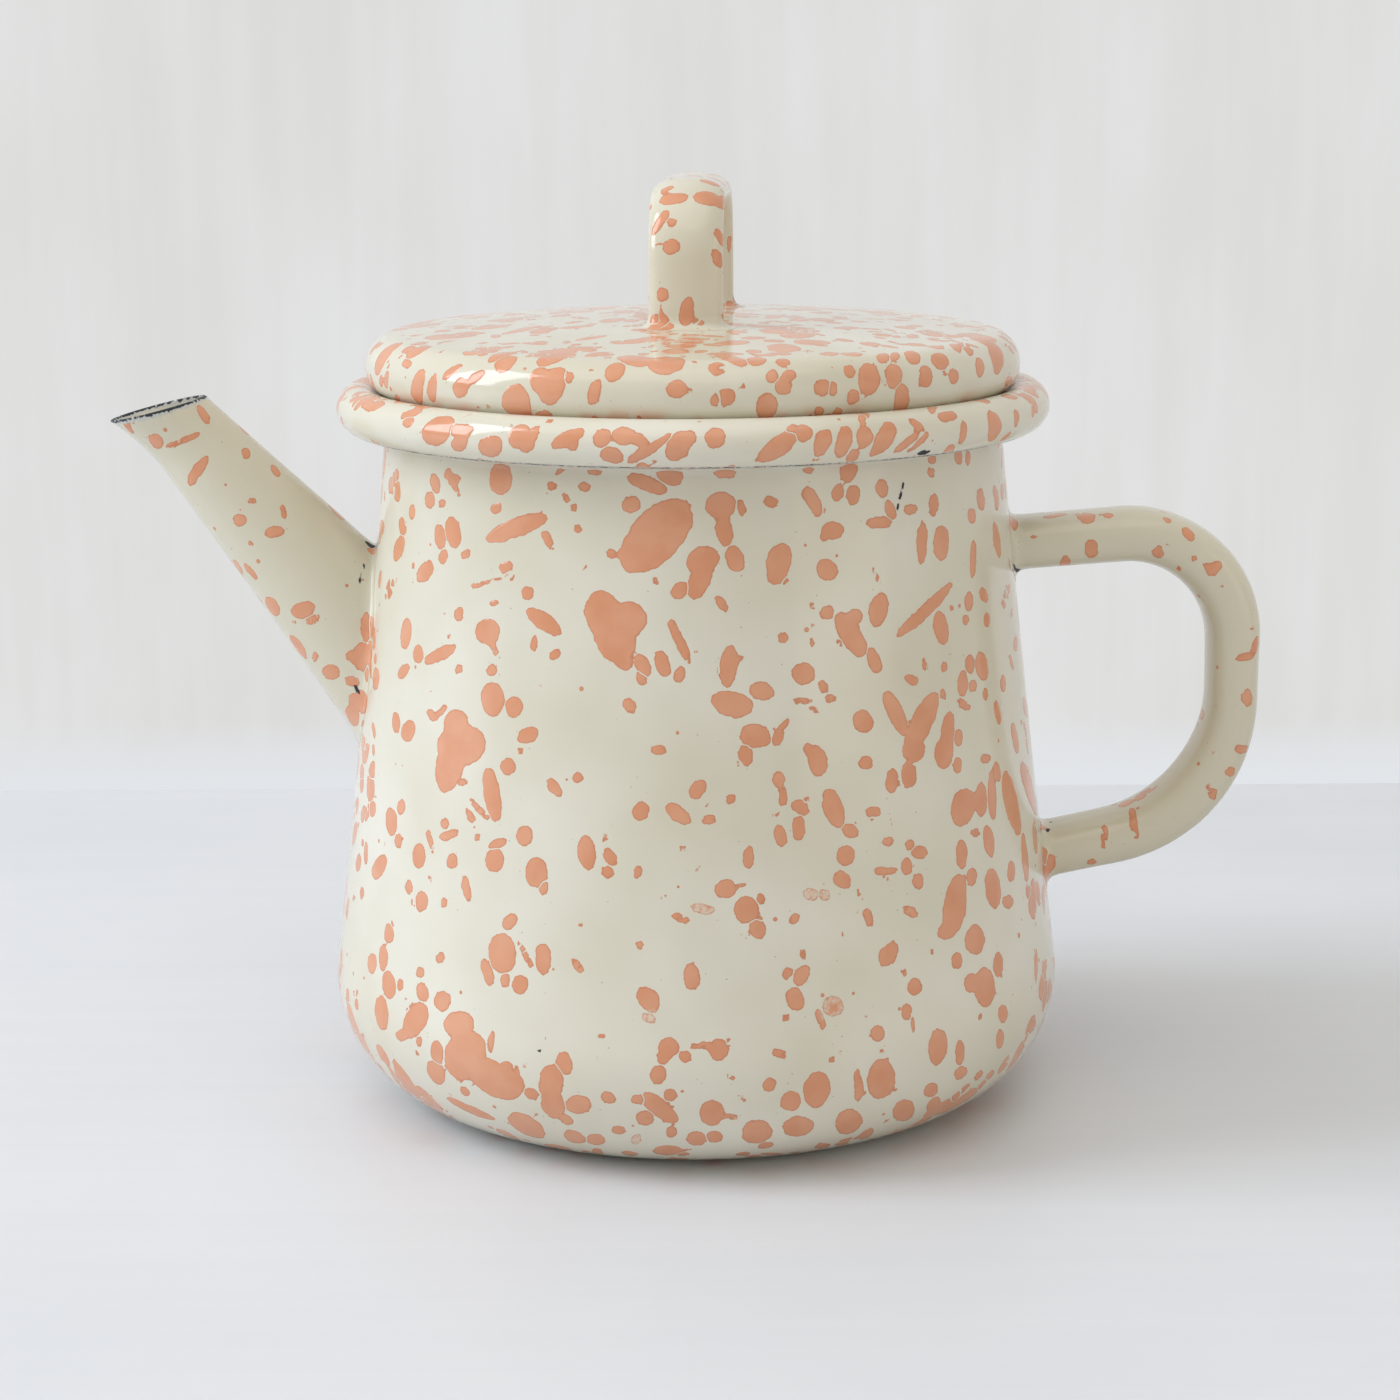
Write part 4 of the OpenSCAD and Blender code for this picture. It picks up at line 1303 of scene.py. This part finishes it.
# %% Colours and patterns of the enamel
CREAM = "#E4E1D3"
# Darker cream: uneven tone everywhere, and also the whole ground of the spout and the handle, where it
# is painted shade
CREAM_TONE_AND_PAINTED_SHADE = "#D7D2BD"
SALMON = "#D9956F"
SALMON_EDGE = "#C87F5B"
SALMON_PALE = "#E0A381"
PINHOLE = "#A9A48E"
OXIDE = "#232B35"
WORN = "#C9CAC4"
# Each noise: how wide its blotches are in mm, how many finer layers it has, and its shift
NOISES = {
    "wide": (4.5, 1, 0), "fine": (1.1, 3, 0), "cloud": (7, 5, 1), "uneven": (30, 2, 2),
    "ragged": (0.6, 3, 4), "wavy": (7, 2, 5), "chipped": (0.8, 2, 6), "peel": (7, 2, 7),
    "gloss": (14, 3, 8), "patches": (0.6, 3, 9),
}
# Specks of salmon, and pin holes in the cream: shift, how far apart they lie in mm, a random
# channel, from which of its values on they show, and the radius in mm of the least and largest
SPECKS = {"flecks": (0, 2.6, "Red", 0.8, -0.1, 0.42), "pins": (3, 1.5, "Green", 0.6, -0.05, 0.13)}
# Each soft step: the two values between which it runs, and what it gives at either end
STEPS = {
    "inside": (0.05, -0.05, 0, 1), "middle": (0, -0.25, 0.3, 1), "patches": (-0.3, 0.2, 0.15, 0.75),
    "cloud": (-0.45, 0.45, 0, 1), "rim": (-0.32, -0.02, 0, 0.75), "uneven": (-0.6, 0.6, 0, 1),
    "pins": (0.05, -0.03, 0, 0.8), "worn": (0.45, 0.25, 0, 1), "bare": (0.05, -0.05, 0, 1),
    "chip": (0.06, -0.06, 0, 1), "raised": (0.15, -0.45, 0, 0.05), "gloss": (-0.6, 0.6, 0.07, 0.13),
}


def fields(tree, shift):
    """What the mesh stores and all patterns, each under its own name."""
    made = {}
    for key in layers:
        made[key] = node(tree, "Attribute", (), "Fac", attribute_name=key)
    for key, (size_mm, detail, moved) in NOISES.items():
        made[key] = noise(tree, size_mm, detail, shift + moved)
    for key, (moved, *sizes) in SPECKS.items():
        made[key] = specks(tree, shift + moved, *sizes)
    for key in ("cloud", "uneven", "gloss", "patches", "pins"):
        made[key] = node(tree, "MapRange", (made[key], *STEPS[key]), **SMOOTH)
    return made


print(len(layers) + len(NOISES) + len(SPECKS), "fields and patterns")

# %% [markdown]
# The stored distances are made uneven, and a line is left free where both layers are equally
# near, as the two drops of glass never quite close it. Flecks too fine for the mesh join them.
# Thin drops let the cream through in patches, but less so at their rims.

# %% Where the salmon lies
PALE_LINE_MM = 0.17
SPREAD_MM = 0.05
WIDE_WOBBLE_MM = 0.5
FINE_WOBBLE_MM = 0.34


def drop_edges(tree, field):
    """Distance in mm from the edges of the drops, below zero inside them."""
    wobble = node(tree, "Math", (field["wide"], WIDE_WOBBLE_MM, -SPREAD_MM), **SCALE_ADD)
    wobble = node(tree, "Math", (field["fine"], FINE_WOBBLE_MM, wobble), **SCALE_ADD)
    near_a = node(tree, "Math", (field["drops_a"], wobble), operation="ADD")
    near_b = node(tree, "Math", (field["drops_b"], wobble), operation="ADD")
    nearest = node(tree, "Math", (near_a, near_b), operation="MINIMUM")
    apart = node(tree, "Math", (near_a, near_b), operation="SUBTRACT")
    apart = node(tree, "Math", (apart,), operation="ABSOLUTE")
    between = node(tree, "Math", (PALE_LINE_MM, apart), operation="SUBTRACT")
    drops = node(tree, "Math", (nearest, between), operation="MAXIMUM")
    return node(tree, "Math", (drops, field["flecks"]), operation="MINIMUM")


def salmon_share(tree, field, drops):
    """How far salmon covers the cream, from 0 to 1."""
    inside = node(tree, "MapRange", (drops, *STEPS["inside"]), **SMOOTH)
    middle = node(tree, "MapRange", (drops, *STEPS["middle"]), **SMOOTH)
    thin = node(tree, "Math", (field["thin"], field["patches"]), operation="MULTIPLY")
    thin = node(tree, "Math", (thin, middle), operation="MULTIPLY")
    cover = node(tree, "Math", (1.0, thin), operation="SUBTRACT")
    return node(tree, "Math", (inside, cover), operation="MULTIPLY")


print("pale line between drops:", PALE_LINE_MM, "mm")

# %% [markdown]
# Enamel wears at an edge first to a dull pale line and then down to the blue-black oxide that
# firing leaves on steel. A chip goes down to the oxide at once.

# %% Where the glass has worn and chipped
WEAR_RAGGED_MM = 0.5
WEAR_WAVY_MM = 0.12
CHIP_RAGGED_MM = 0.3


def worn_and_bare(tree, field):
    """Where the glass is scuffed, and where the oxide lies bare, each from 0 to 1."""
    edge = node(tree, "Math", (field["edge_gap"], field["wear"]), operation="SUBTRACT")
    edge = node(tree, "Math", (field["ragged"], WEAR_RAGGED_MM, edge), **SCALE_ADD)
    edge = node(tree, "Math", (field["wavy"], WEAR_WAVY_MM, edge), **SCALE_ADD)
    chip = node(tree, "Math", (field["chipped"], CHIP_RAGGED_MM, field["chips"]), **SCALE_ADD)
    worn = node(tree, "MapRange", (edge, *STEPS["worn"]), **SMOOTH)
    bare = node(tree, "MapRange", (edge, *STEPS["bare"]), **SMOOTH)
    chip = node(tree, "MapRange", (chip, *STEPS["chip"]), **SMOOTH)
    return worn, node(tree, "Math", (bare, chip), operation="MAXIMUM")


print("a worn edge is ragged by", WEAR_RAGGED_MM, "mm")

# %% [markdown]
# The colours are laid over each other in the order in which they come about: cream with its pin
# holes, salmon that is darker at the rim of each drop, where the glass drew back and thickened,
# and last the wear. Drops stand proud by a few hundredths of a millimetre, and chips go deeper.
# The glass gives sharp reflections of the window everywhere but on the dull bare oxide.

# %% Enamel
PEEL_HEIGHT_MM = 0.018
GLASS_DEEP_MM = 0.15
GLASS_IOR = 1.5
OXIDE_ROUGH = 0.55


def glass_colour(tree, field, ground, drops, worn, bare):
    """Cream, salmon and wear, laid over each other."""
    # ground is the plain cream, or for the spout and the handle the darker cream that paints their shade
    cream = {0: field["uneven"], 6: linear(ground), 7: linear(CREAM_TONE_AND_PAINTED_SHADE)}
    cream = node(tree, "Mix", cream, 2, **COLOURS)
    cream = node(tree, "Mix", {0: field["pins"], 6: cream, 7: linear(PINHOLE)}, 2, **COLOURS)
    salmon = {0: field["cloud"], 6: linear(SALMON), 7: linear(SALMON_PALE)}
    salmon = node(tree, "Mix", salmon, 2, **COLOURS)
    rim = node(tree, "MapRange", (drops, *STEPS["rim"]), **SMOOTH)
    salmon = node(tree, "Mix", {0: rim, 6: salmon, 7: linear(SALMON_EDGE)}, 2, **COLOURS)
    share = salmon_share(tree, field, drops)
    colour = node(tree, "Mix", {0: share, 6: cream, 7: salmon}, 2, **COLOURS)
    colour = node(tree, "Mix", {0: worn, 6: colour, 7: linear(WORN)}, 2, **COLOURS)
    return node(tree, "Mix", {0: bare, 6: colour, 7: linear(OXIDE)}, 2, **COLOURS)


def enamel(name, ground, shift):
    """Cream vitreous enamel with flicked salmon drops. shift moves its noise to another place."""
    material, tree = new_material(name)
    field = fields(tree, shift)
    drops = drop_edges(tree, field)
    worn, bare = worn_and_bare(tree, field)
    raised = node(tree, "MapRange", (drops, *STEPS["raised"]), **SMOOTH)
    height = node(tree, "Math", (field["peel"], PEEL_HEIGHT_MM, raised), **SCALE_ADD)
    height = node(tree, "Math", (bare, -GLASS_DEEP_MM, height), **SCALE_ADD)
    relief = node(tree, "Bump", {"Strength": 1.0, "Distance": MM, "Height": height})
    dull = node(tree, "Math", (bare, OXIDE_ROUGH), operation="MULTIPLY")
    rough = node(tree, "Math", (field["gloss"], dull), operation="MAXIMUM")
    glass = {"Roughness": rough, "IOR": GLASS_IOR, "Normal": relief}
    glass["Base Color"] = glass_colour(tree, field, ground, drops, worn, bare)
    node(tree, "OutputMaterial", {"Surface": node(tree, "BsdfPrincipled", glass)})
    return material


# The spout, the handle and their welds start from the darker cream, which paints shade on them; the
# other pieces start from the plain cream
ENAMELS = {
    "enamel_body": enamel("vitreous_enamel_fired_body", CREAM, 0.0),
    "enamel_spout": enamel("vitreous_enamel_fired_spout_painted_shade", CREAM_TONE_AND_PAINTED_SHADE, 0.11),
    "enamel_handle": enamel("vitreous_enamel_fired_handle_painted_shade", CREAM_TONE_AND_PAINTED_SHADE, 0.23),
    "enamel_lid": enamel("vitreous_enamel_fired_lid", CREAM, 0.37),
    "enamel_strap": enamel("vitreous_enamel_fired_strap", CREAM, 0.51),
}
for piece, _, slot, _ in PIECES:
    piece.data.materials.append(ENAMELS[slot])
print(len(ENAMELS), "enamels")

# %% [markdown]
# The set is a white-painted table top in front of a limewashed wall. Paint on planed wood
# shows fine long brush marks and a few scuffs; limewash dries in faint upright streaks. The
# table and the wall are one-sided: from behind they are clear, so they never hide the pot.

# %% Paint for the table and the wall
TABLE_COLOUR = "#E2E5E9"
WALL_COLOUR = "#E3E4E4"
WALL_SHADE = "#D9D8D6"
TABLE_SHADE = "#DCE0E5"
SCUFF_COLOUR = "#8C7F76"
SCUFFS = (60, "Red", 0.86, -1, 0.7)
SCUFFS_SHIFT = 0.2
STROKE_MM = 0.05
STROKE_STRENGTH = 0.5
PAINT_ROUGH = 0.42
PAINT_IOR = 1.45
# Each noise: size in mm, finer layers, shift and, where it is drawn out, its stretch
SET_NOISES = {
    "strokes": (6, 4, 0.3, (0.02, 1, 1)), "clouds": (70, 3, 0.7), "ragged": (1.5, 2, 0),
    "grain": (25, 2, 0.9), "streaks": (7, 4, 0.1, (1, 1, 0.08)), "damp": (60, 4, 0.4, (1, 1, 0.5)),
}
TABLE_STEP = (-0.8, 0.8)
SCUFF_STEP = (0.2, -0.1, 0, 0.7)
WALL_STEP = (-0.9, 0.9)
COVE_R = 16


def one_sided(tree, front):
    """Finish a material that is clear when it is seen from behind."""
    behind = node(tree, "NewGeometry", (), "Backfacing")
    whole = node(tree, "MixShader", (behind, front, node(tree, "BsdfTransparent")))
    node(tree, "OutputMaterial", {"Surface": whole})


def table_paint():
    """White paint on planed wood, with long brush marks and a few scuffs."""
    material, tree = new_material("white_brushed_paint")
    strokes = noise(tree, *SET_NOISES["strokes"])
    tone = node(tree, "Math", (strokes, 0.5, noise(tree, *SET_NOISES["clouds"])), **SCALE_ADD)
    tone = node(tree, "MapRange", (tone, *TABLE_STEP), **SMOOTH)
    colour = {0: tone, 6: linear(TABLE_COLOUR), 7: linear(TABLE_SHADE)}
    colour = node(tree, "Mix", colour, 2, **COLOURS)
    scuffs = (specks(tree, SCUFFS_SHIFT, *SCUFFS), noise(tree, *SET_NOISES["ragged"]))
    scuffs = node(tree, "Math", scuffs, operation="ADD")
    scuffs = node(tree, "MapRange", (scuffs, *SCUFF_STEP), **SMOOTH)
    colour = node(tree, "Mix", {0: scuffs, 6: colour, 7: linear(SCUFF_COLOUR)}, 2, **COLOURS)
    height = node(tree, "Math", (strokes, noise(tree, *SET_NOISES["grain"])), operation="ADD")
    relief = {"Strength": STROKE_STRENGTH, "Distance": STROKE_MM * MM, "Height": height}
    relief = node(tree, "Bump", relief)
    paint = {"Base Color": colour, "Roughness": PAINT_ROUGH, "IOR": PAINT_IOR, "Normal": relief}
    one_sided(tree, node(tree, "BsdfPrincipled", paint))
    return material


def wall_paint():
    """Limewash with upright streaks, of an even brightness for the eye and its reflections."""
    material, tree = new_material("limewash_brushed_wall")
    streaks, damp = noise(tree, *SET_NOISES["streaks"]), noise(tree, *SET_NOISES["damp"])
    tone = node(tree, "Math", (streaks, 0.5, damp), **SCALE_ADD)
    tone = node(tree, "MapRange", (tone, *WALL_STEP), **SMOOTH)
    colour = node(tree, "Mix", {0: tone, 6: linear(WALL_COLOUR), 7: linear(WALL_SHADE)}, 2, **COLOURS)
    height = node(tree, "SeparateXYZ", (node(tree, "TexCoord", (), "Object"),), "Z")
    height = node(tree, "MapRange", (height, 0, COVE_R * MM), **SMOOTH)
    colour = node(tree, "Mix", {0: height, 6: linear(TABLE_COLOUR), 7: colour}, 2, **COLOURS)
    lit = node(tree, "BsdfDiffuse", {"Color": colour})
    shown = node(tree, "Emission", {"Color": colour, "Strength": 1.0})
    looked_at = 0.0
    for ray in ("Is Camera Ray", "Is Glossy Ray", "Is Transmission Ray"):
        path = node(tree, "LightPath", (), ray)
        looked_at = node(tree, "Math", (path, looked_at), operation="ADD")
    one_sided(tree, node(tree, "MixShader", (looked_at, lit, shown)))
    return material


print("cove's height, up to which the wall has the table's colour:", COVE_R, "mm")

# %% [markdown]
# The table is one large quad. The wall is a strip that curves up from the table in a small
# cove, so that the line between the two is soft.

# %% Table and wall
WALL_Y = 241
WALL_LIFT = 0.3
HALF_SET = 3000


def stage_mesh(name, points, faces, material, size=1):
    mesh = bpy.data.meshes.new(name)
    mesh.from_pydata([Vector(p) * size * MM for p in points], [], faces)
    for face in mesh.polygons:
        face.use_smooth = True
    mesh.materials.append(material)
    sheet = bpy.data.objects.new(name, mesh)
    bpy.context.scene.collection.objects.link(sheet)
    print(name, len(faces), "faces")


stage_mesh(
    "table_top",
    [(x, y, 0) for x, y in ((-1, -1), (1, -1), (1, 1), (-1, 1))],
    [(0, 1, 2, 3)], table_paint(), HALF_SET,
)
cove = arc((WALL_Y - COVE_R, COVE_R), COVE_R, -90, 0, 2)
wall_line = [(y, z + WALL_LIFT) for y, z in cove] + [(WALL_Y, HALF_SET)]
stage_mesh(
    "back_wall",
    [(x, y, z) for y, z in wall_line for x in (-HALF_SET, HALF_SET)],
    [(2 * i, 2 * i + 1, 2 * i + 3, 2 * i + 2) for i in range(len(wall_line) - 1)], wall_paint(),
)

# %% [markdown]
# Daylight from a window: a large soft light at the front left gives the bright shapes on lid
# and rim, the sky fills in from above, and the room gives back a little warm light from the
# right, which keeps the shaded side of the pot yellowish.

# %% Lights
WORLD_COLOUR = "#FAF6EF"
WORLD_STRENGTH = 0.58


def window_light(name, place, target, size, watts, colour):
    data = bpy.data.lights.new(name, "AREA")
    data.shape = "RECTANGLE"
    data.size, data.size_y = size[0] * MM, size[1] * MM
    data.energy = watts
    data.color = linear(colour)[:3]
    light = bpy.data.objects.new(name, data)
    light.location = Vector(place) * MM
    light.rotation_euler = (Vector(target) * MM - light.location).to_track_quat("-Z", "Y").to_euler()
    bpy.context.scene.collection.objects.link(light)
    print(name, "light:", round((Vector(place) - Vector(target)).length), "mm away,", watts, "W")


# For each: its place, what it points at and its size in millimetres, watts, and colour
window_light("window", (-2150, -60, 1330), (0, 0, 100), (1400, 1800), 54, "#EBF2FF")
window_light("sky", (-250, -600, 2050), (0, 60, 0), (2400, 2000), 12, "#FFFBF6")
window_light("room", (1700, -1300, 380), (0, 0, 60), (1400, 1300), 4, "#FFE9D0")

world = bpy.data.worlds.new("daylight")
bpy.context.scene.world = world
world.use_nodes = True
background = world.node_tree.nodes["Background"]
background.inputs["Color"].default_value = linear(WORLD_COLOUR)
background.inputs["Strength"].default_value = WORLD_STRENGTH
bpy.context.scene.view_settings.view_transform = "Standard"
